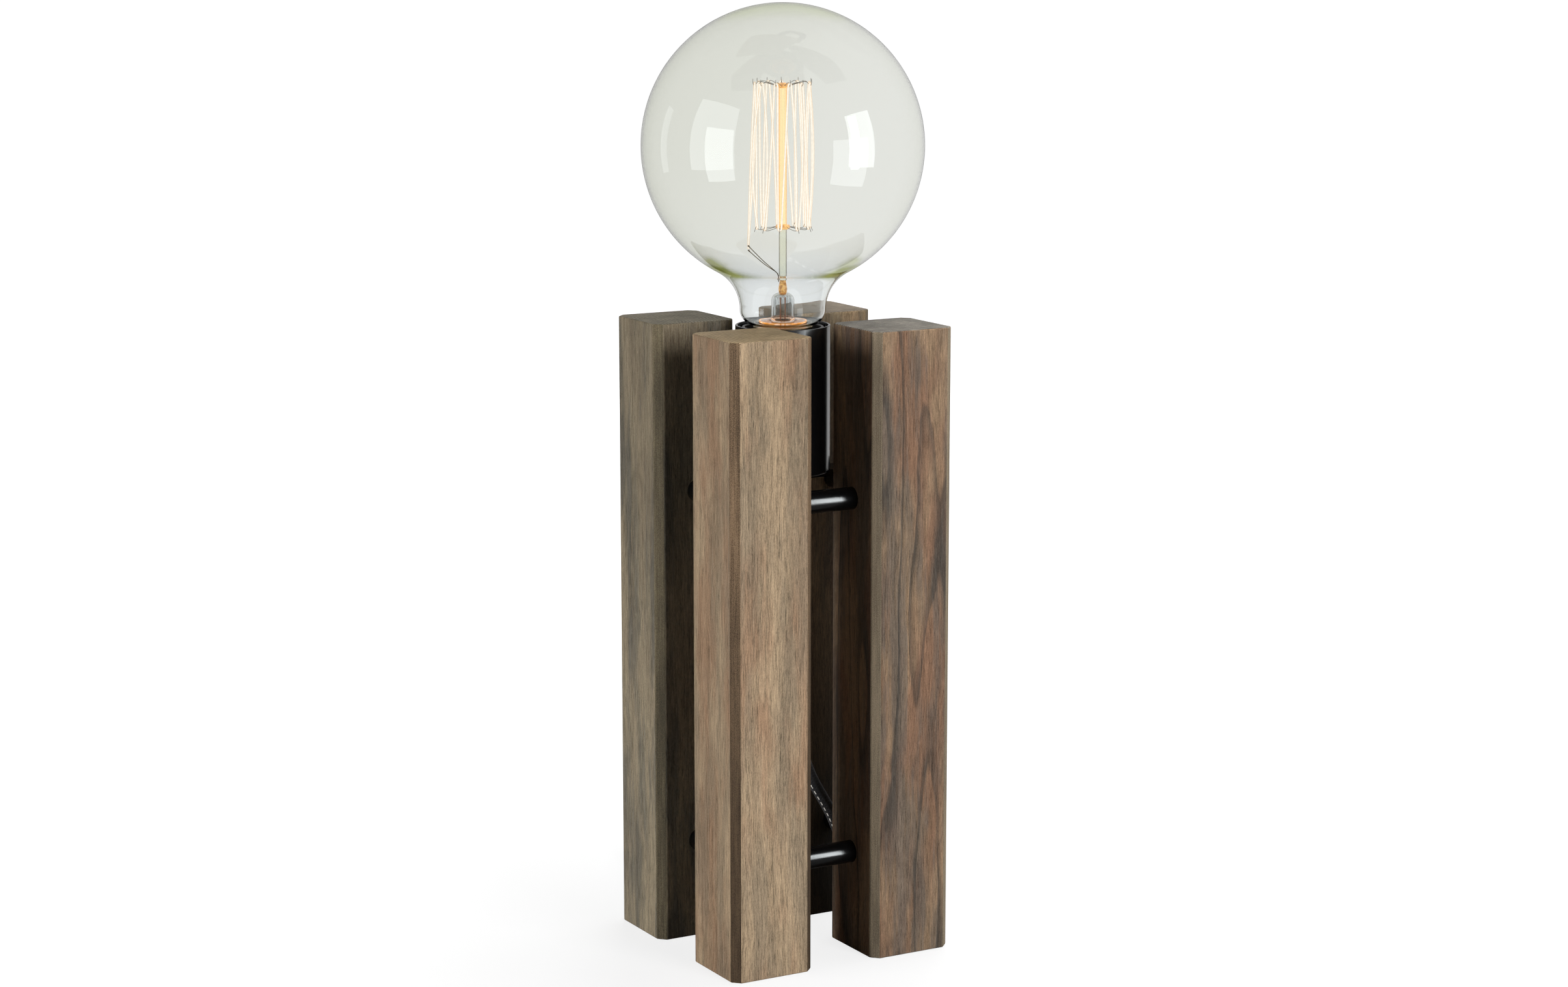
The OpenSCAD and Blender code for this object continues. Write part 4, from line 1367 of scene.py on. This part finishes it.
        # painted filament light along the rod between the beads, given as emission
        rod_glass = BlownGlass(
            tint=(1.0, 0.88, 0.60), low_tint=(0.92, 0.93, 0.80), low_at=self.lower_button,
            edge_tint=(0.045, 0.032, 0.018), top_tint=(0.30, 0.16, 0.05),
            top_at=self.lower_button, edge=(0.22, 0.54), painted_filament_light=(0.12, 0.07, 0.01),
            painted_filament_light_rim=(0.50, 0.20, 0.02), painted_light_from=self.lower_button, painted_light_to=end,
        )
        Piece("stem_tube_glass", "clear_glass", [("stem_glass", stem_glass)], ["stem_flare"],
              [turned(outer, 72), turned(inner, 72)], BULB, 60).make()
        Piece("stem_pinch_bead", "amber_glass", [FUSED_BEAD], ["stem_pinch"],
              [turned(pinch, 32)], BULB).make()
        Piece("stem_rod_glass", "clear_glass", [("rod_glass", rod_glass)], ["stem_rod"],
              [turned(rounded(rod, 0.0003), 32)], BULB, 50).make()
        half, bore = self.bead_half, self.rod + 0.00005
        for name, node, z in (("upper_bead", "top_button", self.upper_button),
                              ("lower_bead", "lower_button", self.lower_button)):
            bead = np.vstack((
                [[bore, z - half]], arc((self.bead - half, z), half, -90, 90, 10),
                [[bore, z + half], [bore, z - half]],
            ))
            Piece(name, "amber_glass", [AMBER], [node], [turned(bead, 48)], BULB).make()
        keep(COPPER, "stem_lead_wires")

    @staticmethod
    def _polar(radius: float, azimuth: float, height: float) -> np.ndarray:
        """Point at a radius, an azimuth in degrees and a height."""
        return spun(radius, height, math.radians(azimuth))

    def _azimuth(self, step: float) -> float:
        """Azimuth in degrees of a hook, counted in steps from the first upper one: even steps, with
        a sine of the step that sets each a little to one side.

        Args:
            step: the hook's number, with a half for a lower one.

        Returns:
            The azimuth.
        """
        even = self.leads_at + self.first_hook + 360 * step / self.hooks
        return even + self.scatter * math.sin(self.scatter_turn * step)

    def _fan(self, name: str, node: str, hook_mm: tuple, height: float, start: float) -> None:
        """One fan of support wires, each with a notch near its end.

        Args:
            name: the piece's name.
            node: the solid that it replaces.
            hook_mm: the bends of each wire.
            height: the bead's height.
            start: step of the first wire. A fan that starts half a step on has one wire fewer.
        """
        piece = Piece(name, "support_wire", [SUPPORT_WIRE], [node], body=BULB, sharp=60)
        for step in np.arange(start, self.hooks - start):
            bends = np.array([
                self._polar(out, self._azimuth(step), height + up) for out, up in mm(hook_mm)
            ])
            piece.patches.append(tube(smooth_path(bends, 0.0004), self.wire, 8, (0.01, 0.02, 1.0)))
        piece.make()

    def _filament_route(self) -> np.ndarray:
        """Filament from one lead, over each upper hook and under each lower one, to the other lead.

        Returns:
            Rows of points.
        """
        route = [self._polar(self.lead_reach, self.leads_at - 5, self.lead_tip - self.lead_drop)]
        upper, lower = mm(self.upper_hook_mm[self.notch]), mm(self.lower_hook_mm[self.notch])
        for step in np.arange(0, self.hooks - 0.5, 0.5):
            way = -1 if step % 1 else 1
            out, up = lower if step % 1 else upper
            top = (self.lower_button if step % 1 else self.upper_button) + up + way * self.loop_rise
            for swing, drop in ((-1, 1.4), (-0.8, 0.4), (0, 0), (0.8, 0.4), (1, 1.4)):
                turn = self._azimuth(step) + swing * self.loop_half
                route.append(self._polar(out - 0.00008, turn, top - way * drop * 0.001))
        route.append(self._polar(self.lead_reach, self.leads_at + 5, self.lead_tip))
        return np.array(route)

    def _filament(self) -> None:
        """Filament. Each long strand bows out by a parabola: 4 t (1 - t) times its own swing."""
        route = self._filament_route()
        bowed = [route[0]]
        swing = np.random.default_rng(4).normal(0.0006, 0.0016, len(route))
        t = np.linspace(0, 1, 10)[1:-1, None]
        for a, b, bow in zip(route[:-1], route[1:], swing[1:]):
            if np.linalg.norm(b - a) > 0.02:
                outward = (a + b) * (1, 1, 0)
                outward /= np.linalg.norm(outward)
                bowed.extend(a + (b - a) * t + outward * bow * 4 * t * (1 - t))
            bowed.append(b)
        line = tube(evenly(np.array(bowed), 0.00035), self.filament, 6, (0.3, 0.5, 0.1))
        Piece(
            "cage_filament", "filament_wire", [FILAMENT_WIRE], ["filament"], [line], BULB, 180
        ).make()

    def _leads(self) -> None:
        """Lead wires: from the pinch out to the filament's ends, each a little thicker at its tip,
        where it is folded over."""
        wires = Piece("filament_leads", "support_wire", [LEAD_WIRE], ["lead_wires"], body=BULB,
                      sharp=60)
        reach, tip = self.lead_reach, self.lead_tip
        for side, drop in ((-1, self.lead_drop), (1, 0.0)):
            bends = np.array([
                self._polar(out, self.leads_at + side * turn, height - drop * share)
                for out, turn, height, share in (
                    (0.00205, 30, 0.2986, 0), (0.0024, 25, 0.3004, 0), (0.0036, 18, 0.3021, 0.2),
                    (reach * 0.55, 8, 0.3063, 0.6), (reach - 0.0008, 5, tip - 0.0014, 1),
                    (reach, 5, tip - 0.0004, 1),
                )
            ])
            line = smooth_path(bends, 0.0004)
            left = np.linspace(length_of(line), 0, len(line))
            radius = 0.00018 + 0.00024 * np.clip(1 - left / 0.0014, 0, 1)
            wires.patches.append(tube(line, radius, 10, (0.5, 0.87, 0.1)))
        wires.make()


@dataclass
class Cords:
    """The textile cord: from the grip to the switch, and from the switch over the coil to the
    plug."""

    radius: float = 0.00275
    spacing: float = 0.0012
    coil_centre_mm: tuple[float, float] = (31.0, 116.0)
    coil_out_mm: float = 42.5
    coil_step_mm: float = 6.1
    layer_step_mm: float = 6.0
    coil_low_mm: float = 2.75
    coil_turns: float = 6.25
    lamp_route_mm: tuple = (
        (0, 0, 177), (0, 0, 171), (0, 0, 160), (0.2, -0.4, 148), (0.5, -1, 136), (1, -1.8, 124),
        (1.9, -2.6, 112), (3.3, -3.4, 101), (5.6, -4.2, 90), (8.8, -5, 79.5), (12.9, -5.6, 70),
        (17.2, -6, 62.5), (21.5, -6.2, 54.8), (25.3, -6.5, 46), (29.3, -7, 37.3),
        (34.5, -7.6, 28.5), (41, -8, 20), (48.2, -8, 12.6), (55.3, -7.2, 7), (61.8, -4.8, 3.6),
        (67.4, -0.5, 2.9), (71.2, 5, 4.2), (73.1, 11, 5.9), (73.5, 16.5, 6.5), (73.5, 22, 6.5),
    )
    mid_route_mm: tuple = (
        (73.5, 80, 6.5), (73.5, 85.5, 6.5), (73.5, 92, 5.4), (73.5, 98.5, 3.7), (73.5, 105, 2.8),
        (73.5, 110.5, 2.75),
    )
    plug_route_mm: tuple = (
        (25.5, 158.5, 8.75), (20, 158.5, 9.2), (14, 157, 10.8), (8.5, 153.5, 13),
        (4.5, 148.5, 15.4), (2, 143, 17.4), (1, 137, 18.6), (1, 131.5, 18.7),
    )

    def _coil(self) -> np.ndarray:
        """Coil: the radius shrinks evenly to the middle turn and grows again, and the height takes
        a smooth step of one layer in the half turn there.

        Returns:
            Rows of points.
        """
        t = np.linspace(0, self.coil_turns, int(self.coil_turns * 90))
        r = self.coil_out_mm - self.coil_step_mm * np.minimum(t, self.coil_turns - t)
        u = np.clip(2 * (t - self.coil_turns / 2) + 0.5, 0, 1)
        z = self.coil_low_mm + self.layer_step_mm * u * u * (3 - 2 * u)
        return mm(spun(r, z, TAU * t) + (*self.coil_centre_mm, 0.0))

    def _piece(
        self, name: str, nodes: Sequence[str], path: np.ndarray, first: Sequence[float]
    ) -> bpy.types.Object:
        """Makes one stretch.

        Args:
            name: its name.
            nodes: the solids that it replaces.
            path: rows of points.
            first: direction of its seam at the start.

        Returns:
            The stretch.
        """
        LOG.info("%s: %.3f m", name, length_of(path))
        return Piece(name, "textile", [BRAIDED_CORD], nodes,
                     [tube(path, self.radius, 20, first)], sharp=60).make()

    def build(self, switch: Sequence[bpy.types.Object], plug: Sequence[bpy.types.Object]) -> None:
        """Args:
            switch: the pieces of the switch; not used.
            plug: the pieces of the plug; not used.
        """
        step, width = self.spacing, 2 * self.radius
        first = smooth_path(mm(self.lamp_route_mm), step)
        lead = self._piece("cord_from_lamp", ["cord_lamp_side"], first, (1.0, -1.0, 0.2))
        second = evenly(np.vstack((
            smooth_path(mm(self.mid_route_mm), step), evenly(self._coil(), step),
            smooth_path(mm(self.plug_route_mm), step),
        )), step)
        nodes = ["cord_to_coil", "cord_coil", "cord_plug_side"]
        rest = self._piece("cord_to_plug", nodes, second, (1.0, 0.0, 0.3))


@dataclass
class Switch:
    """In-line rocker switch."""

    x: float = 0.0735
    y: float = 0.051
    half_x: float = 0.012
    half_y: float = 0.029
    corner: float = 0.009
    split: float = 0.0065
    top: float = 0.014
    pivot: float = 0.011
    tip: float = -9.0
    key_half: float = 0.005
    key_mm: tuple = (
        (-9.8, 1.6), (-3.5, -1.9), (3.5, -1.9), (9.8, 1.6), (9.8, 4.7), (7.4, 4.1), (5, 3.8),
        (2.5, 3.57), (0, 3.5), (-2.5, 3.57), (-5, 3.8), (-7.4, 4.1), (-9.8, 4.7),
    )

    def build(self) -> list[bpy.types.Object]:
        """Makes base, cover and rocker.

        Returns:
            The pieces, and the solids that stay.
        """
        seam = 0.00005
        base = self._shell("switch_base", 0.0, self.split - seam, (
            (0.0010, 0.0), (0.0003, 0.0004), (0.0, 0.0012), (0.0, self.split - 0.0003),
            (0.0003, self.split - seam),
        ))
        cover = self._shell("switch_cover", self.split + seam, self.top - 0.0040, (
            (0.0003, self.split + seam), (0.0, self.split + 0.0003), (0.0, self.top - 0.0022),
            (0.0003, self.top - 0.0012), (0.0010, self.top - 0.0004), (0.0020, self.top),
        ), (
            (0.0061, 0.0112, 0.0008, self.top), (0.0056, 0.0107, 0.0005, self.top - 0.0003),
            (0.0055, 0.0106, 0.0004, self.top - 0.0040),
        ))
        solids = keep(BRASS, "switch_contacts") + keep(ZINC, "switch_screws")
        return [base, cover, self._rocker(), *solids]

    def _shell(
        self, node: str, low: float, high: float, steps: tuple, well: tuple = ()
    ) -> bpy.types.Object:
        """One half of the case.

        Args:
            node: the solid that it replaces.
            low: where its bottom closes.
            high: where its top closes.
            steps: (inset, height) of each ring of its outline.
            well: rings of the rocker's opening.

        Returns:
            The half.
        """
        rings = [
            (self.half_x - inset, self.half_y - inset, self.corner - inset, height)
            for inset, height in steps
        ]
        skin = lofted([(0, 0, 0, low), *rings, *well, (0, 0, 0, high)])
        skin = skin.moved(Matrix.Translation((self.x, self.y, 0)))
        return Piece(f"{node}_shell", "black_plastic", [BLACK_PLASTIC], [node], [skin]).make()

    def _rocker(self) -> bpy.types.Object:
        """Rocker: its side outline carried across the switch, tipped to its far end.

        Returns:
            The rocker.
        """
        tip = Matrix.Rotation(math.radians(self.tip), 4, "X")
        place = Matrix.Translation((self.x, self.y, self.pivot)) @ tip
        ends = [
            carried(np.column_stack((np.full(len(self.key_mm), x), mm(self.key_mm))), place)
            for x in (-self.key_half, self.key_half)
        ]
        piece = Piece("switch_rocker_key", "black_plastic", [ROCKER_BLACK], ["switch_rocker"],
                      body=ROCKER, sharp=25, bevel=0.0005)
        piece.prism(*ends, 1, 0)
        return piece.make()


@dataclass
class Plug:
    """Flat two-pin plug that lies on the coil, with its pins towards the lamp."""

    at: tuple[float, float, float] = (0.001, 0.1315, 0.0187)
    relief: float = 0.020
    body_mm: tuple = (
        (0, 0, 0, 0), (5.8, 4.6, 4, 0), (6.8, 5.6, 4.8, 0.6), (8.5, 6.3, 5, 4),
        (12.5, 6.65, 5, 12.5), (16.2, 6.85, 5, 20.5), (17.65, 6.85, 4.5, 24.5),
        (17.65, 6.85, 4.5, 33.8), (17.25, 6.45, 4.2, 34.6), (16.25, 5.45, 3.5, 35), (0, 0, 0, 35),
    )

    def build(self) -> list[bpy.types.Object]:
        """Makes the body and its ribbed relief, and dresses the pins.

        Returns:
            The pieces of the plug.
        """
        lie = Matrix.Translation(self.at) @ Matrix.Rotation(math.pi / 2, 4, "X")
        skin = lofted(mm(self.body_mm) + (0, 0, 0, self.relief)).moved(lie)
        body = Piece("plug_body_moulded", "black_plastic", [BLACK_PLASTIC], ["plug_body"],
                     [skin]).make()
        end = self.relief - 0.0002
        taper = 0.0035 + 0.0026 * np.linspace(0, end, 110) / self.relief
        profile = np.vstack(([[0, 0]], ribbed(0, end, taper, 0.0005, 0.0028), [[0, end]]))
        relief = Piece("plug_relief_ribbed", "black_nylon", [BLACK_NYLON], ["plug_relief"],
                       [turned(profile, 48).moved(lie)]).make()
        return [body, relief, *keep(NICKEL, "plug_pins"), *keep(BLACK_PLASTIC, "plug_pin_sleeves")]


# ---- The studio ------------------------------


def pose(right: Sequence[float], up: Sequence[float], place: Sequence[float]) -> Matrix:
    """Pose of a camera or a light. Its back is the cross product of right and up.

    Args:
        right: unit vector to its right.
        up: unit vector to its top.
        place: where it stands.

    Returns:
        The matrix.
    """
    columns = np.column_stack((right, up, np.cross(right, up), place))
    return Matrix(np.vstack((columns, (0, 0, 0, 1))).tolist())


@dataclass(frozen=True)
class Panel:
    """An upright area light that faces the lamp's axis. A window shows only in reflections, and any
    other panel gives only plain light."""

    name: str
    place: tuple[float, float, float]
    width: float
    height: float
    power: float
    window: bool = True

    def build(self) -> None:
        """Makes the light."""
        data = bpy.data.lights.new(self.name, "AREA")
        data.shape, data.size, data.size_y = "RECTANGLE", self.width, self.height
        data.energy = self.power
        data.color = (0.93, 0.98, 1.0) if self.window else WHITE
        made = placed(self.name, data)
        up, back = (0.0, 0.0, 1.0), np.array((*self.place[:2], 0.0))
        made.matrix_world = pose(np.cross(up, back / np.linalg.norm(back)), up, self.place)
        made.visible_diffuse, made.visible_glossy = not self.window, self.window
        made.visible_transmission = False


PANELS = (
    Panel("left_window", (-1.30, -0.05, 0.60), 0.95, 1.15, 9.5),
    Panel("right_window", (0.86, -1.18, 0.52), 0.62, 0.96, 11.0),
    Panel("left_window_pane", (-0.838, -0.141, 0.295), 0.367, 0.57, 2.7),
    Panel("right_window_pane", (0.316, -0.680, 0.228), 0.41, 0.445, 1.9),
    Panel("right_window_bright_pane", (0.74, -1.27, 0.46), 0.20, 1.00, 7.5),
    Panel("rear_strip", (-0.95, 1.10, 0.40), 0.22, 0.78, 0.6),
    Panel("front_key", (0.34, -1.60, 0.62), 0.60, 0.90, 30.0, False),
    Panel("rear_fill", (1.00, 1.40, 0.70), 0.90, 0.90, 26.0, False),
    Panel("side_key", (-1.55, 0.16, 0.44), 0.60, 0.90, 20.0, False),
)


class Rays:
    """Kinds of path: seen by the camera, off clear glass, off satin paint, and mirrored."""

    def __init__(self, tree: Tree) -> None:
        """Adds the Light Path node and sorts its outputs.

        Args:
            tree: the node tree.
        """
        path = tree.node("ShaderNodeLightPath").outputs
        self.seen = Sock(tree, path["Is Camera Ray"])
        through = Sock(tree, path["Is Transmission Ray"])
        self.sharp = Sock(tree, path["Is Singular Ray"]).most(through) * (1 - self.seen)
        self.soft = Sock(tree, path["Is Glossy Ray"]) * (1 - self.sharp)
        self.mirrored = Sock(tree, path["Is Reflection Ray"])


@dataclass
class Studio:
    """Camera, lights, floor and backdrop."""

    eye: tuple[float, float, float] = (-0.71068, -1.25736, 0.46525)
    right: tuple[float, float, float] = (0.870386, -0.49237, 0.0)
    up: tuple[float, float, float] = (0.08803165, 0.15561776, 0.98388696)
    lens: float = 75.83
    ambient: float = 0.035
    in_glass: float = 0.85
    off_glass: float = 0.42
    off_glass_right: float = 0.72
    floor_half: float = 30.0

    def build(self) -> None:
        """Sets up everything round the lamp."""
        self._camera()
        self._world()
        self._floor()
        for panel in PANELS:
            panel.build()
        self._overhead()

    def _camera(self) -> None:
        """Camera at the photograph's place."""
        data = bpy.data.cameras.new("viewpoint")
        data.sensor_width, data.sensor_fit, data.lens = 36.0, "HORIZONTAL", self.lens
        data.clip_start, data.clip_end = 0.05, 100.0
        made = placed("viewpoint", data)
        made.matrix_world = pose(self.right, self.up, self.eye)
        bpy.context.scene.camera = made

    def _overhead(self) -> None:
        """Broad light from above, which no reflection shows."""
        data = bpy.data.lights.new("overhead", "AREA")
        data.size, data.energy = 1.4, 34.0
        made = placed("overhead", data)
        made.location, made.rotation_euler = (0.8, 0.1, 2.1), (0.05, 0.36, 0.0)
        made.visible_glossy = made.visible_transmission = False

    def _glassy(self, rays: Rays, side: Sock) -> Sock:
        """Brightness of the surroundings for a path off clear glass: one level through it, and a
        lower one where it is mirrored, which rises to the right.

        Args:
            rays: the tree's kinds of path.
            side: how far to the right of the lamp the path leads, from -1 to 1.

        Returns:
            The brightness.
        """
        rise = side.step(-0.1, 0.6) * (self.off_glass_right - self.off_glass)
        return self.in_glass + rays.mirrored * (self.off_glass + rise - self.in_glass)

    def _world(self) -> None:
        """White behind the lamp for the camera, and dimmer through glass and where glass mirrors
        it. Satin paint mirrors white only from low down. As plain light the world is dim."""
        world = bpy.data.worlds.new("studio")
        bpy.context.scene.world = world
        tree = Tree(world)
        rays = Rays(tree)
        x, y, height = tree.split(tree.sock("ShaderNodeTexCoord", out="Generated"))
        glassy = self._glassy(rays, x * self.right[0] + y * self.right[1])
        low = 1 - height.step(0.05, 0.35) * 0.97
        off = (rays.sharp * (glassy - self.ambient)).most(rays.soft * (low - self.ambient))
        level = self.ambient + (rays.seen * (1 - self.ambient)).most(off)
        sky = {"Color": (*WHITE, 1.0), "Strength": level}
        light = tree.sock("ShaderNodeBackground", None, sky)
        tree.node("ShaderNodeOutputWorld", None, {"Surface": light})

    def _floor(self) -> None:
        """Pale floor. What the camera and the glass see of it is lifted to white, and keeps the
        shadow. As a reflection in satin paint it is white only well away from the lamp."""
        half = self.floor_half
        mesh = bpy.data.meshes.new("table")
        corners = [(-half, -half, 0), (half, -half, 0), (half, half, 0), (-half, half, 0)]
        mesh.from_pydata(corners, [], [(0, 1, 2, 3)])
        made = placed("table", mesh)
        finish = bpy.data.materials.new("table_white")
        tree = Tree(finish)
        rays = Rays(tree)
        tone = tree.noise(tree.place(), 3)
        plain = tree.mix((0.13, 0.13, 0.13), (0.16, 0.16, 0.16), tone)
        paper = {"Color": tree.mix(plain, (0.80, 0.80, 0.80), rays.seen)}
        paper = tree.sock("ShaderNodeBsdfDiffuse", None, paper)
        x, y, _ = tree.split(tree.place())
        away = (x * x + y * y).root()
        soft = rays.soft * away.step(0.45, 0.75)
        glassy = self._glassy(rays, (x * self.right[0] + y * self.right[1]) / (away + 0.05))
        lift = rays.seen * (1.03 + away.step(0.10, 0.50) * 0.27)
        white = {"Color": (*WHITE, 1.0), "Strength": rays.sharp * glassy + lift + soft}
        white = tree.sock("ShaderNodeEmission", None, white)
        share = rays.seen * 0.78 + rays.sharp + soft
        blend = tree.sock("ShaderNodeMixShader", None, {0: share, 1: paper, 2: white})
        tree.node("ShaderNodeOutputMaterial", None, {"Surface": blend})
        mesh.materials.append(finish)


def main() -> None:
    """Builds the studio and the lamp, piece by piece."""
    logging.basicConfig(level=logging.INFO, format="%(message)s")
    bpy.context.scene.view_settings.view_transform = "Standard"
    Studio().build()
    switch = Switch().build()
    plug = Plug().build()
    Cords().build(switch, plug)
    for part in (Posts(), Rods(), Cup(), Holder(), Bulb()):
        part.build()


if __name__ == "__main__":
    main()
